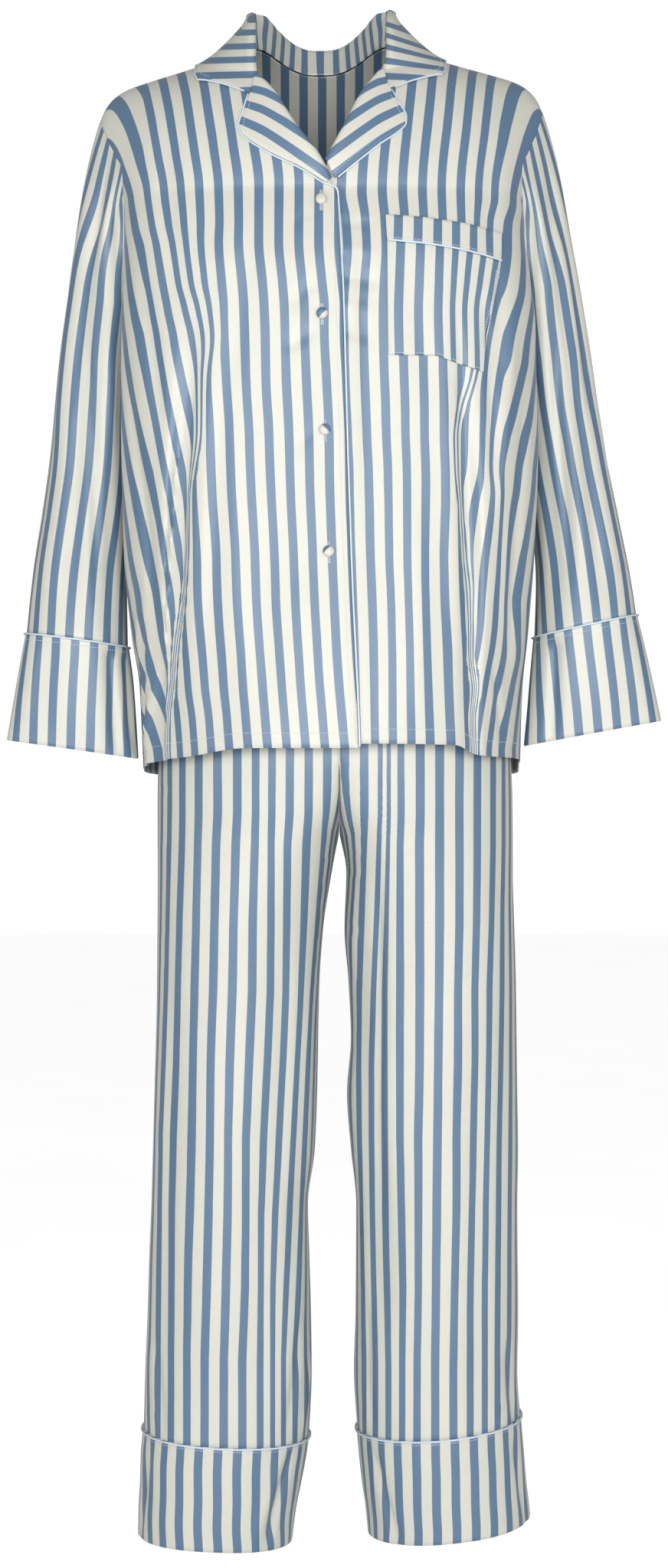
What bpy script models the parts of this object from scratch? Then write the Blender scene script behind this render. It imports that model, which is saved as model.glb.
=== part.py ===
"""Striped satin pyjama set in its worn, hollow form: a notched-collar shirt with long sleeves over straight
trousers.

Metres. +X to the wearer's left, +Y to the back, +Z up. The origin lies between the shoulders at the base of
the neck. Right and left are the wearer's own. Every cloth piece is a thin wall; what lies on a panel is made
from its points.
"""

import math

import bmesh
import bpy
import numpy as np

# ---- cloth and trim
CLOTH = 0.0015          # single panel
DOUBLE = 0.0018         # lapel, collar, cuff and pocket band, two layers
SEAM = 0.0004           # gap between pieces at a seam
UNDERLAP = 0.0028       # how far the left front sinks under the right one
PIPING_RADIUS = 0.0013
BUTTON_RADIUS = 0.0054
BUTTON_HEIGHT = 0.0040

# ---- shirt body
Z_YOKE = -0.130         # where the chest starts to turn back to the shoulder
Z_ARMPIT = -0.213
TURN = 0.120            # pattern length per radian of that turn
RIDGE_V = Z_YOKE + TURN * math.pi / 2
SIDE_Y = 0.020          # the side seams lie a little behind the middle
NECK_U = 0.066          # half width of the neck opening
NECK_DROP = 0.063       # how far the back neckline dips below the shoulder seam, in pattern length
SHOULDER_TILT = 0.018   # the left shoulder sits a little higher
BACK_HEM_Z = -0.678


def smooth(xs, ys):
    """Monotone cubic through the rows of a table, held flat beyond its ends."""
    xs, ys = np.asarray(xs, float), np.asarray(ys, float)
    if xs[0] > xs[-1]:
        xs, ys = xs[::-1], ys[::-1]
    h = np.diff(xs)
    d = np.diff(ys) / h
    m = np.zeros(len(xs))
    m[0], m[-1] = d[0], d[-1]
    for k in range(1, len(xs) - 1):
        if d[k - 1] * d[k] > 0:
            w1, w2 = 2 * h[k] + h[k - 1], h[k] + 2 * h[k - 1]
            m[k] = (w1 + w2) / (w1 / d[k - 1] + w2 / d[k])

    def at(x):
        x = np.clip(x, xs[0], xs[-1])
        k = np.clip(np.searchsorted(xs, x) - 1, 0, len(h) - 1)
        t = (x - xs[k]) / h[k]
        return (
            (2 * t**3 - 3 * t**2 + 1) * ys[k]
            + (t**3 - 2 * t**2 + t) * h[k] * m[k]
            + (3 * t**2 - 2 * t**3) * ys[k + 1]
            + (t**3 - t**2) * h[k] * m[k + 1]
        )

    return at


def table(names, rows):
    columns = list(zip(*rows))
    return {name: smooth(columns[0], column) for name, column in zip(names, columns)}


def step(t):
    t = np.clip(t, 0.0, 1.0)
    return t * t * (3 - 2 * t)


# half widths and depths of the body by height, its squareness, and how far it tucks in behind the arms
BODY = table(
    ("z", "right", "left", "front", "back", "square", "tuck"),
    (
        (-0.690, 0.183, 0.178, 0.141, 0.143, 2.5, 0.00),
        (-0.640, 0.184, 0.180, 0.139, 0.142, 2.6, 0.00),
        (-0.590, 0.185, 0.183, 0.136, 0.139, 2.7, 0.00),
        (-0.540, 0.192, 0.190, 0.132, 0.135, 2.9, 0.01),
        (-0.465, 0.198, 0.199, 0.126, 0.127, 3.1, 0.07),
        (-0.350, 0.197, 0.206, 0.121, 0.118, 3.3, 0.15),
        (-0.250, 0.194, 0.206, 0.119, 0.112, 3.4, 0.21),
        (-0.200, 0.192, 0.201, 0.118, 0.110, 3.4, 0.19),
        (-0.160, 0.191, 0.196, 0.113, 0.109, 3.4, 0.14),
        (-0.130, 0.191, 0.194, 0.106, 0.108, 3.4, 0.08),
    ),
)
CENTRE_X = smooth((-0.66, -0.47, -0.36, -0.25, -0.10, 0.03), (0.0, -0.005, -0.0085, -0.011, -0.012, -0.012))
RIDGE_Z = smooth(
    (0.0, 0.050, 0.066, 0.100, 0.135, 0.163, 0.186, 0.199, 0.207, 0.2125, 0.220),
    (0.030, 0.028, 0.0225, 0.0115, 0.0008, -0.0070, -0.0143, -0.0222, -0.0320, -0.044, -0.062),
)

# long folds of the shirt: pattern distance from the centre at the top and at the hem, start and end height,
# depth (minus is a trough) and half width
FOLDS = {
    (-1, -1): (
        (0.118, 0.168, -0.22, -0.72, -0.0110, 0.0085),
        (0.140, 0.187, -0.20, -0.72, 0.0060, 0.0100),
        (0.165, 0.208, -0.40, -0.72, -0.0080, 0.0075),
    ),
    (1, -1): (
        (0.130, 0.132, -0.25, -0.72, -0.0080, 0.0095),
        (0.152, 0.154, -0.25, -0.72, 0.0040, 0.0100),
    ),
    (-1, 1): ((0.090, 0.110, -0.25, -0.72, -0.0070, 0.0110),),
    (1, 1): ((0.100, 0.120, -0.30, -0.72, -0.0070, 0.0110),),
}

LEVELS = np.linspace(-0.69, Z_YOKE, 57)
U_GRID = np.linspace(0.0, 0.33, 166)


def half_section(side, face, z):
    """Outer line of half the body at a height: distance along the cloth from the centre, across, and depth."""
    width = float(BODY["left" if side > 0 else "right"](z))
    square = float(BODY["square"](z))
    turn = np.linspace(0, math.pi / 2, 420)
    x = width * np.sin(turn) ** (2 / square)
    if face > 0:
        y = SIDE_Y + (float(BODY["back"](z)) - SIDE_Y) * np.cos(turn) ** (2 / 2.6)
    else:
        y = SIDE_Y - (float(BODY["front"](z)) + SIDE_Y) * np.cos(turn) ** (2 / square)
    x = x * (1 - float(BODY["tuck"](z)) * step((y + 0.045) / 0.075))
    along = np.concatenate(([0], np.cumsum(np.hypot(np.diff(x), np.diff(y)))))
    push = np.zeros_like(along)
    for top, bottom, z0, z1, deep, wide in FOLDS[(side, face)]:
        part = np.clip((z - z0) / (z1 - z0), 0, 1)
        grow = step(part / 0.45) if z < z0 else 0.0
        middle = top + (bottom - top) * part
        push = push + deep * grow * np.exp(-(((along - middle) / wide) ** 2))
    tx, ty = np.gradient(x), np.gradient(y)
    long = np.hypot(tx, ty) + 1e-12
    x, y = x + face * -ty / long * push * -1, y + face * tx / long * push
    along = np.concatenate(([0], np.cumsum(np.hypot(np.diff(x), np.diff(y)))))
    return along, x, y


def half_map(side, face):
    """The half sections of all levels on one even pattern grid, and where the side seam lies at each."""
    xs, ys, ends = [], [], []
    for z in LEVELS:
        along, x, y = half_section(side, face, z)
        xs.append(np.interp(U_GRID, along, x))
        ys.append(np.interp(U_GRID, along, y))
        ends.append(along[-1])
    return np.array(xs), np.array(ys), np.array(ends)


MAPS = {(side, face): half_map(side, face) for side in (-1, 1) for face in (-1, 1)}


def seam_u(side, face, v):
    return np.interp(np.minimum(v, Z_YOKE), LEVELS, MAPS[(side, face)][2])


def read_map(grid, u, z):
    a = np.clip((u - U_GRID[0]) / (U_GRID[1] - U_GRID[0]), 0, len(U_GRID) - 1.001)
    b = np.clip((z - LEVELS[0]) / (LEVELS[1] - LEVELS[0]), 0, len(LEVELS) - 1.001)
    i, j = a.astype(int), b.astype(int)
    a, b = a - i, b - j
    return (
        grid[j, i] * (1 - a) * (1 - b) + grid[j, i + 1] * a * (1 - b)
        + grid[j + 1, i] * (1 - a) * b + grid[j + 1, i + 1] * a * b
    )


def bare_body(side, u, v):
    """A point of the body's outer surface. u is the cloth distance from the centre line, minus past it. v is the
    height up to Z_YOKE, then the length of the turn over the shoulder; past RIDGE_V it runs down the back."""
    u, v = np.broadcast_arrays(np.asarray(u, float), np.asarray(v, float))
    over = v > RIDGE_V
    v = np.where(over, 2 * RIDGE_V - v, v)
    out = np.zeros(u.shape + (3,))
    for hand in (-1, 1):
        for face in (-1, 1):
            pick = (np.where(u < 0, -side, side) == hand) & (over == (face > 0))
            if not pick.any():
                continue
            w, t = np.abs(u[pick]), v[pick]
            xs, ys, _ = MAPS[(hand, face)]
            low = np.minimum(t, Z_YOKE)
            x, y = read_map(xs, w, low), read_map(ys, w, low)
            turn = np.clip((t - Z_YOKE) / TURN, 0, math.pi / 2)
            lift = np.sin(turn)
            x = x + (w * 0.985 - x) * lift
            top = RIDGE_Z(w * 0.985) + hand * SHOULDER_TILT * w
            z = np.where(t > Z_YOKE, Z_YOKE + (top - Z_YOKE) * lift, t)
            out[pick] = np.stack((CENTRE_X(z) + hand * x, y * np.cos(turn), z), -1)
    return out


def back_body(side, u, v):
    """The back of the body, with v as the height."""
    return bare_body(side, u, 2 * RIDGE_V - np.asarray(v, float))


def outward(surface, u, v, core_y=0.02):
    """Unit normal of a surface function, pointing away from the body's middle."""
    d = 0.0006
    along = surface(u + d, v) - surface(u - d, v)
    up = surface(u, v + d) - surface(u, v - d)
    n = np.cross(along, up)
    n /= np.linalg.norm(n, axis=-1, keepdims=True) + 1e-15
    p = surface(u, v)
    core = np.stack((np.full(p.shape[:-1], -0.006), np.full(p.shape[:-1], core_y), p[..., 2] - 0.06), -1)
    sign = np.sign(np.sum(n * (p - core), axis=-1, keepdims=True))
    return n * np.where(sign == 0, 1, sign)


def on_body(side, u, v, height):
    """A point held at a height over the body's outer surface."""
    u, v = np.broadcast_arrays(np.asarray(u, float), np.asarray(v, float))

    def surface(a, b):
        return bare_body(side, a, b)

    return surface(u, v) + outward(surface, u, v) * np.asarray(height)[..., None]


# ---------------------------------------------------------------- mesh helpers

def new_object(name, points, faces, colour, roughness):
    mesh = bpy.data.meshes.new(name)
    mesh.from_pydata([tuple(map(float, p)) for p in points], [], faces)
    solid = bmesh.new()
    solid.from_mesh(mesh)
    bmesh.ops.recalc_face_normals(solid, faces=solid.faces)
    solid.to_mesh(mesh)
    solid.free()
    mesh.shade_smooth()
    mesh.set_sharp_from_angle(angle=math.radians(40))
    item = bpy.data.objects.new(name, mesh)
    bpy.context.scene.collection.objects.link(item)
    material = bpy.data.materials.new(name)
    material.use_nodes = True
    shader = material.node_tree.nodes["Principled BSDF"]
    shader.inputs["Base Color"].default_value = (*colour, 1.0)
    shader.inputs["Roughness"].default_value = roughness
    shader.inputs["Metallic"].default_value = 0.0
    mesh.materials.append(material)
    return item


def grid_normals(points, closed):
    """Unit normals of a grid of points."""
    if closed:
        along = np.roll(points, -1, axis=1) - np.roll(points, 1, axis=1)
    else:
        along = np.gradient(points, axis=1)
    up = np.gradient(points, axis=0)
    n = np.cross(along, up)
    return n / (np.linalg.norm(n, axis=-1, keepdims=True) + 1e-15)


def wall(name, outer, thick, colour, roughness=0.35, closed=False, core=None, first=None):
    """A closed wall under a grid of outer points, rows by columns. The columns of a tube are closed. The first row
    may be given its own normals, so that its end lies along its neighbour's."""
    rows, cols = outer.shape[:2]
    n = grid_normals(outer, closed)
    if core is None:
        core = outer.mean(axis=1, keepdims=True)
    if np.sum(n * (outer - core)) < 0:
        n = -n
    if first is not None:
        n[0] = first
    inner = outer - n * thick
    count = rows * cols
    faces = []
    spans = cols if closed else cols - 1

    def at(i, j):
        return i * cols + j % cols

    flat = outer.reshape(-1, 3)
    for i in range(rows - 1):
        for j in range(spans):
            a, b, c, d = at(i, j), at(i, j + 1), at(i + 1, j + 1), at(i + 1, j)
            # each square is cut along its shorter diagonal
            if np.linalg.norm(flat[a] - flat[c]) <= np.linalg.norm(flat[b] - flat[d]):
                halves = ((a, b, c), (a, c, d))
            else:
                halves = ((a, b, d), (b, c, d))
            for x, y, z in halves:
                faces.append((x, y, z))
                faces.append((count + z, count + y, count + x))
    for i in (0, rows - 1):
        for j in range(spans):
            a, b = at(i, j), at(i, j + 1)
            faces.append((a, b, count + b, count + a))
    if not closed:
        for j in (0, cols - 1):
            for i in range(rows - 1):
                a, b = at(i, j), at(i + 1, j)
                faces.append((a, b, count + b, count + a))
    both = np.concatenate((outer.reshape(-1, 3), inner.reshape(-1, 3)))
    return new_object(name, both, faces, colour, roughness)


def resample(path, count, closed=False):
    """A path at even steps along its length."""
    path = np.asarray(path, float)
    if closed:
        path = np.concatenate((path, path[:1]))
    along = np.concatenate(([0], np.cumsum(np.linalg.norm(np.diff(path, axis=0), axis=1))))
    marks = np.linspace(0, along[-1], count + 1 if closed else count)
    if closed:
        marks = marks[:-1]
    return np.stack([np.interp(marks, along, path[:, k]) for k in range(3)], -1)


def cord(name, path, radius, colour, sides=5, closed=False, roughness=0.3):
    """A thin round cord swept along a path."""
    path = np.asarray(path, float)
    if closed:
        ahead = np.roll(path, -1, axis=0) - np.roll(path, 1, axis=0)
    else:
        ahead = np.gradient(path, axis=0)
    ahead /= np.linalg.norm(ahead, axis=1, keepdims=True)
    start = np.array((0.0, -1.0, 0.2))
    across = []
    for t in ahead:
        start = start - t * np.dot(start, t)
        start = start / np.linalg.norm(start)
        across.append(start)
    across = np.array(across)
    if closed:
        # share out the twist so that the ring closes on itself
        first = across[0] - ahead[-1] * np.dot(across[0], ahead[-1])
        first /= np.linalg.norm(first)
        up = np.cross(ahead[-1], across[-1])
        off = math.atan2(np.dot(first, up), np.dot(first, across[-1]))
        part = np.linspace(0, off, len(path))[:, None]
        across = across * np.cos(part) + np.cross(ahead, across) * np.sin(part)
    other = np.cross(ahead, across)
    points = []
    for p, a, b in zip(path, across, other):
        for k in range(sides):
            w = 2 * math.pi * k / sides
            points.append(p + radius * (math.cos(w) * a + math.sin(w) * b))
    count = len(path)
    faces = []
    for i in range(count if closed else count - 1):
        j = (i + 1) % count
        for k in range(sides):
            m = (k + 1) % sides
            faces.append((i * sides + k, i * sides + m, j * sides + m, j * sides + k))
    if not closed:
        faces.append(tuple(range(sides)))
        faces.append(tuple((count - 1) * sides + k for k in range(sides)))
    return new_object(name, points, faces, colour, roughness)


# ---------------------------------------------------------------- shirt panels

# inner edge of each front by v: the front edge, then the roll line of the lapel, then the neck
EDGE_RIGHT = smooth(
    (-0.70, -0.631, -0.475, -0.278, -0.155, -0.143, -0.1347, -0.1289, -0.1258, -0.1156, -0.1052, -0.0942,
     -0.0798, -0.0605, -0.0493, -0.0334, -0.010, 0.0585),
    (-0.0222, -0.0218, -0.0190, -0.0188, -0.0150, -0.0142, -0.0136, -0.0112, -0.0081, -0.0023, 0.0070, 0.0171,
     0.0307, 0.0427, 0.0514, 0.0634, 0.0655, 0.0660),
)
EDGE_LEFT = smooth(
    (
        -0.70, -0.150, -0.140, -0.1258, -0.1156, -0.1091, -0.0972, -0.0757, -0.0597, -0.0489, -0.0299, -0.010,
        0.0585,
    ),
    (
        -0.0180, -0.0180, -0.0165, -0.0060, 0.0023, 0.0082, 0.0166, 0.0301, 0.0387, 0.0473, 0.0604, 0.0650,
        0.0660,
    ),
)
# armhole edges by v, from the armpit to the shoulder; the armpit rows are counted back from the side seam
ARMHOLE = {
    "front": table(
        ("v", "back_off", "u"),
        (
            (-0.213, 0.000, 0.300), (-0.206, 0.022, 0.275), (-0.195, 0.040, 0.257), (-0.175, 0.056, 0.240),
            (-0.150, 0.062, 0.2265), (-0.130, 0.060, 0.2175),
            (-0.112, 0.060, 0.2080), (-0.096, 0.060, 0.2045),
            (-0.0746, 0.060, 0.2100), (-0.029, 0.060, 0.2146), (0.0585, 0.060, 0.2158),
        ),
    ),
    "back": table(
        ("v", "back_off", "u"),
        (
            (-0.213, 0.000, 0.212), (-0.205, 0.012, 0.206), (-0.190, 0.020, 0.200), (-0.160, 0.026, 0.195),
            (-0.130, 0.028, 0.194), (-0.100, 0.028, 0.197), (-0.060, 0.028, 0.204), (0.0, 0.028, 0.212),
            (0.0585, 0.028, 0.2158),
        ),
    ),
}


def armhole_u(side, face, v):
    rows = ARMHOLE["back" if face > 0 else "front"]
    v = np.asarray(v, float)
    counted = seam_u(side, face, v) - rows["back_off"](v)
    mix = step((v - Z_ARMPIT) / 0.06)
    return np.where(v <= Z_ARMPIT, seam_u(side, face, v), counted * (1 - mix) + rows["u"](v) * mix)


HEM_RIGHT = smooth((-0.03, 0.08, 0.14, 0.18, 0.22, 0.29), (-0.6495, -0.6495, -0.657, -0.660, -0.664, -0.669))
HEM_LEFT = smooth((-0.03, 0.115, 0.145, 0.22, 0.29), (-0.6450, -0.6465, -0.6560, -0.6585, -0.6630))
HEM_BACK = smooth((0.0, 0.12, 0.20, 0.29), (BACK_HEM_Z, -0.677, -0.673, -0.669))
HEM_REACH = 0.09        # the hem's own shape dies out over this height

LOW_ROWS = (0.0, 0.050, 0.105, 0.175, 0.250, 0.325, 0.393)
ARM_ROWS = (-0.213, -0.206, -0.195, -0.175, -0.150)
TURN_ROWS = (0.0, 0.15, 0.31, 0.46, 0.60, 0.74, 0.88, 1.0)
# the same rows of the fronts where they meet the roll line and the neck; the fifth is the end of the gorge
NECK_ROWS = {
    -1: (-0.130, -0.1060, -0.0800, -0.0560, -0.0334, -0.0100, 0.0250, RIDGE_V),
    1: (-0.130, -0.1060, -0.0757, -0.0500, -0.0299, -0.0080, 0.0250, RIDGE_V),
}


def panel_rows(hem):
    """Heights of the rows below the yoke, as a function of pattern distance."""
    base = -0.655
    rows = []
    for rise in LOW_ROWS:
        rows.append(lambda u, r=rise: base + r + (hem(np.abs(u)) - base) * (1 - step(r / HEM_REACH)))
    for v in ARM_ROWS:
        rows.append(lambda u, w=v: w + 0 * u)
    return rows


def front_grid(side, columns):
    """Outer points of a front as pattern coordinates u and v. Below the yoke a column runs along the main fold."""
    edge = EDGE_RIGHT if side < 0 else EDGE_LEFT
    hem = HEM_RIGHT if side < 0 else HEM_LEFT
    share = np.linspace(0, 1, columns)
    top, bottom, z0, z1 = FOLDS[(side, -1)][0][:4]
    lead = share[round(0.45 * (columns - 1))]
    us, vs = [], []
    for row in panel_rows(hem):
        v = row(np.full(columns, 0.1))
        for _ in range(4):
            start, width = edge(v), armhole_u(side, -1, v) - edge(v)
            fold = (top + (bottom - top) * np.clip((v - z0) / (z1 - z0), 0, 1) - start) / width
            fold = lead + (fold - lead) * step((Z_YOKE - 0.02 - v) / 0.06)
            bent = np.where(share < lead, share * fold / lead, 1 - (1 - share) * (1 - fold) / (1 - lead))
            u = start + width * bent
            v = row(u)
        us.append(u)
        vs.append(v)
    for part, neck in zip(TURN_ROWS, NECK_ROWS[side]):
        arm = Z_YOKE + (RIDGE_V - Z_YOKE) * part
        u = edge(neck) + (armhole_u(side, -1, arm) - edge(neck)) * share
        us.append(u)
        vs.append(neck + (arm - neck) * share)
    return np.array(us), np.array(vs)


def sink(side, u, v):
    """How far the left front lies under the right one."""
    if side < 0:
        return np.zeros_like(u)
    reach = -EDGE_RIGHT(v)
    return -UNDERLAP * (1 - step((u - reach - 0.006) / 0.016))


# columns of half the back as shares of its width, closer together round the end of the neckline
BACK_COLUMNS = (0.0, 0.09, 0.17, 0.235, 0.28, 0.306, 0.40, 0.50, 0.60, 0.70, 0.80, 0.90, 1.0)


def neck_drop(u):
    """How far the back neckline lies below the shoulder seam, in pattern length."""
    return NECK_DROP * np.clip(1 - (np.abs(u) / NECK_U) ** 2.5, 0, 1)


def back_grid():
    """Outer points of the back: signed pattern distance and height, both sides at once."""
    share = np.array([-part for part in BACK_COLUMNS[:0:-1]] + list(BACK_COLUMNS))
    columns = len(share)
    side = np.where(share < 0, -1, 1)
    us, vs = [], []

    def width(v):
        return np.where(side < 0, armhole_u(-1, 1, v), armhole_u(1, 1, v))

    for row in panel_rows(HEM_BACK):
        v = row(np.full(columns, 0.1))
        for _ in range(3):
            u = width(v) * np.abs(share)
            v = row(u)
        us.append(u)
        vs.append(v)
    for part in TURN_ROWS:
        u = np.full(columns, 0.1)
        for _ in range(4):
            top = RIDGE_V - neck_drop(u)
            v = Z_YOKE + (top - Z_YOKE) * part
            u = width(v) * np.abs(share)
        us.append(u)
        vs.append(v)
    return side, np.array(us), np.array(vs)


def body_core(points):
    core = points.copy()
    core[..., 0] = -0.006
    core[..., 1] = 0.02
    core[..., 2] = points[..., 2] - 0.05
    return core


def make_fronts(colour):
    for name, side in (("front_right", -1), ("front_left", 1)):
        u, v = front_grid(side, 19)
        points = on_body(side, u, v, sink(side, u, v))
        points[-1, :, 1] -= SEAM
        wall(name, points, CLOTH, colour, core=body_core(points))


def make_back(colour):
    side, u, v = back_grid()
    right, left = back_body(-1, u, v), back_body(1, u, v)
    points = np.where((side < 0)[None, :, None], right, left)
    points[-1, :, 1] += SEAM
    low = v <= Z_ARMPIT + 1e-9
    points[low[:, 0], 0, 1] += SEAM
    points[low[:, -1], -1, 1] += SEAM
    wall("back", points, CLOTH, colour, core=body_core(points))


# ---------------------------------------------------------------- sleeves

# rings of each sleeve: outer edge across and height, inner edge across and height, middle depth, half depth
SLEEVE = {
    -1: (
        (-0.2574, -0.2069, -0.1790, -0.2340, 0.036, 0.0600),
        (-0.2646, -0.2608, -0.1830, -0.2780, 0.034, 0.0590),
        (-0.2702, -0.3148, -0.1890, -0.3280, 0.030, 0.0560),
        (-0.2751, -0.3686, -0.1935, -0.3800, 0.026, 0.0540),
        (-0.2818, -0.4226, -0.1975, -0.4340, 0.019, 0.0520),
        (-0.2892, -0.4764, -0.1995, -0.4880, 0.010, 0.0490),
        (-0.2945, -0.5380, -0.1980, -0.5515, 0.000, 0.0450),
    ),
    1: (
        (0.2373, -0.2069, 0.1660, -0.2340, 0.036, 0.0600),
        (0.2461, -0.2608, 0.1700, -0.2780, 0.034, 0.0590),
        (0.2539, -0.3148, 0.1780, -0.3280, 0.030, 0.0560),
        (0.2639, -0.3686, 0.1850, -0.3800, 0.026, 0.0540),
        (0.2744, -0.4226, 0.1915, -0.4340, 0.019, 0.0520),
        (0.2840, -0.4764, 0.1945, -0.4860, 0.010, 0.0490),
        (0.2895, -0.5200, 0.1925, -0.5420, 0.000, 0.0450),
    ),
}
CUFF = {
    -1: (
        (-0.2956, -0.5385, -0.1970, -0.5520, 0.000, 0.0455),
        (-0.3015, -0.5720, -0.1925, -0.5830, -0.004, 0.0400),
        (-0.3070, -0.6060, -0.1893, -0.6210, -0.009, 0.0330),
        (-0.3123, -0.6405, -0.1868, -0.6580, -0.014, 0.0250),
    ),
    1: (
        (0.2905, -0.5205, 0.1915, -0.5425, 0.000, 0.0455),
        (0.2985, -0.5545, 0.1880, -0.5770, -0.004, 0.0400),
        (0.3058, -0.5885, 0.1848, -0.6120, -0.009, 0.0330),
        (0.3125, -0.6220, 0.1812, -0.6460, -0.014, 0.0250),
    ),
}
HEAD_RINGS = 6          # from the armhole to the first full ring
# long troughs of the sleeves: turn at the top and at the cuff, depth, half width in turn, share where it starts
SLEEVE_FOLDS = {
    -1: ((0.85, 1.55, -0.0050, 0.22, 0.1), (2.05, 2.3, -0.0035, 0.25, 0.3)),
    1: ((0.95, 1.35, -0.0050, 0.22, 0.1), (2.0, 2.2, -0.0035, 0.25, 0.3)),
}


def ring(row, turn, square=2.3):
    """Points of a sleeve ring at turns from the outer edge over the front to the inner edge and the back."""
    ox, oz, ix, iz, y, deep = row
    a, b = np.cos(turn), np.sin(turn)
    a = np.sign(a) * np.abs(a) ** (2 / square)
    b = np.sign(b) * np.abs(b) ** (2 / square)
    return np.stack(
        (
            (ox + ix) / 2 + (ox - ix) / 2 * a,
            y - deep * b,
            (oz + iz) / 2 + (oz - iz) / 2 * a,
        ),
        -1,
    )


def edge_away(side, face, v):
    """Armhole edge points and the direction in the cloth that leads off the panel."""
    surface = (lambda u, w: back_body(side, u, w)) if face > 0 else (lambda u, w: bare_body(side, u, w))
    u = armhole_u(side, face, v)
    p = surface(u, v)
    inside = surface(u - 0.006, np.maximum(v - 0.006, -0.68))
    n = outward(surface, u, v)
    t = np.gradient(p, v, axis=0)
    t /= np.linalg.norm(t, axis=1, keepdims=True)
    away = np.cross(n, t)
    away *= np.sign(np.sum(away * (p - inside), axis=1, keepdims=True))
    return p, away, n


def armhole_ring(side):
    """The armhole as a ring from the shoulder down the front and up the back, with a point on each of the panels'
    rows: the points, the way off the panels, their normals, and the share of the ring's length at each."""
    rows = np.array(ARM_ROWS + tuple(Z_YOKE + (RIDGE_V - Z_YOKE) * part for part in TURN_ROWS))[::-1]
    half = len(rows) - 1
    front, back = edge_away(side, -1, rows), edge_away(side, 1, rows)
    points, away, normal = (np.concatenate((f, b[1:-1][::-1])) for f, b in zip(front, back))
    for k, m in ((0, 0), (half, -1)):
        away[k] = front[1][m] + back[1][m]
        normal[k] = front[2][m] + back[2][m]
    away /= np.linalg.norm(away, axis=1, keepdims=True)
    normal /= np.linalg.norm(normal, axis=1, keepdims=True)
    along = np.cumsum(np.linalg.norm(points - np.roll(points, 1, axis=0), axis=1))
    along -= along[0]
    first = along[: half + 1] / along[half] / 2
    close = np.linalg.norm(points[0] - points[-1])
    rest = (along[half:] - along[half]) / (along[-1] - along[half] + close) / 2
    share = np.concatenate((first, 0.5 + rest[1:]))
    return points + away * (SEAM + 0.0003), away, normal, share


def sleeve_points(side):
    start, away, normal, share = armhole_ring(side)
    even = np.arange(len(share)) / len(share)
    turn = 2 * math.pi * (0.35 * share + 0.65 * even)
    rows = SLEEVE[side]
    first, second = ring(rows[0], turn), ring(rows[1], turn)
    end_way = (second - first) / np.linalg.norm(second - first, axis=1, keepdims=True)
    top = ((1 + np.cos(turn)) / 2)[:, None]
    start_way = away * (0.10 + 0.75 * top**0.6) + end_way * (0.90 - 0.60 * top**0.6)
    start_way /= np.linalg.norm(start_way, axis=1, keepdims=True)
    span = np.linalg.norm(first - start, axis=1, keepdims=True)
    rings = []
    for k in range(HEAD_RINGS):
        t = (k / HEAD_RINGS) ** 1.15
        rings.append(
            (2 * t**3 - 3 * t**2 + 1) * start
            + (t**3 - 2 * t**2 + t) * span * 0.9 * start_way
            + (3 * t**2 - 2 * t**3) * first
            + (t**3 - t**2) * span * end_way
        )
    for row in rows:
        rings.append(ring(row, turn))
    points = np.array(rings)
    n = grid_normals(points, True)
    if np.sum(n * (points - points.mean(axis=1, keepdims=True))) < 0:
        n = -n
    length = np.linspace(0, 1, len(points))[:, None]
    push = np.zeros(points.shape[:2])
    for top_turn, low_turn, deep, wide, begin in SLEEVE_FOLDS[side]:
        middle = top_turn + (low_turn - top_turn) * length
        grow = step((length - begin) / 0.25) * step((1.0 - length) / 0.12)
        push += deep * grow * np.exp(-(((turn[None] - middle) / wide) ** 2))
    return points + n * push[..., None], normal


def make_sleeves(colour, trim):
    for word, side in (("right", -1), ("left", 1)):
        points, normal = sleeve_points(side)
        wall(f"sleeve_{word}", points, CLOTH, colour, closed=True, first=normal)
        rows = CUFF[side]
        fine = np.linspace(0, 2 * math.pi, 20, endpoint=False)
        points = np.array([ring(row, fine) for row in rows])
        points[0, :, 2] -= SEAM
        wall(f"cuff_{word}", points, DOUBLE, colour, closed=True)
        ox, oz, ix, iz, y, deep = rows[0]
        grow = (PIPING_RADIUS + 0.0006) * side
        loop = ring((ox + grow, oz - 0.0005, ix - grow, iz - 0.0005, y, deep + abs(grow)), fine)
        cord(f"piping_cuff_{word}", loop, PIPING_RADIUS, trim, closed=True)


# ---------------------------------------------------------------- lapels and collar

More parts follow.
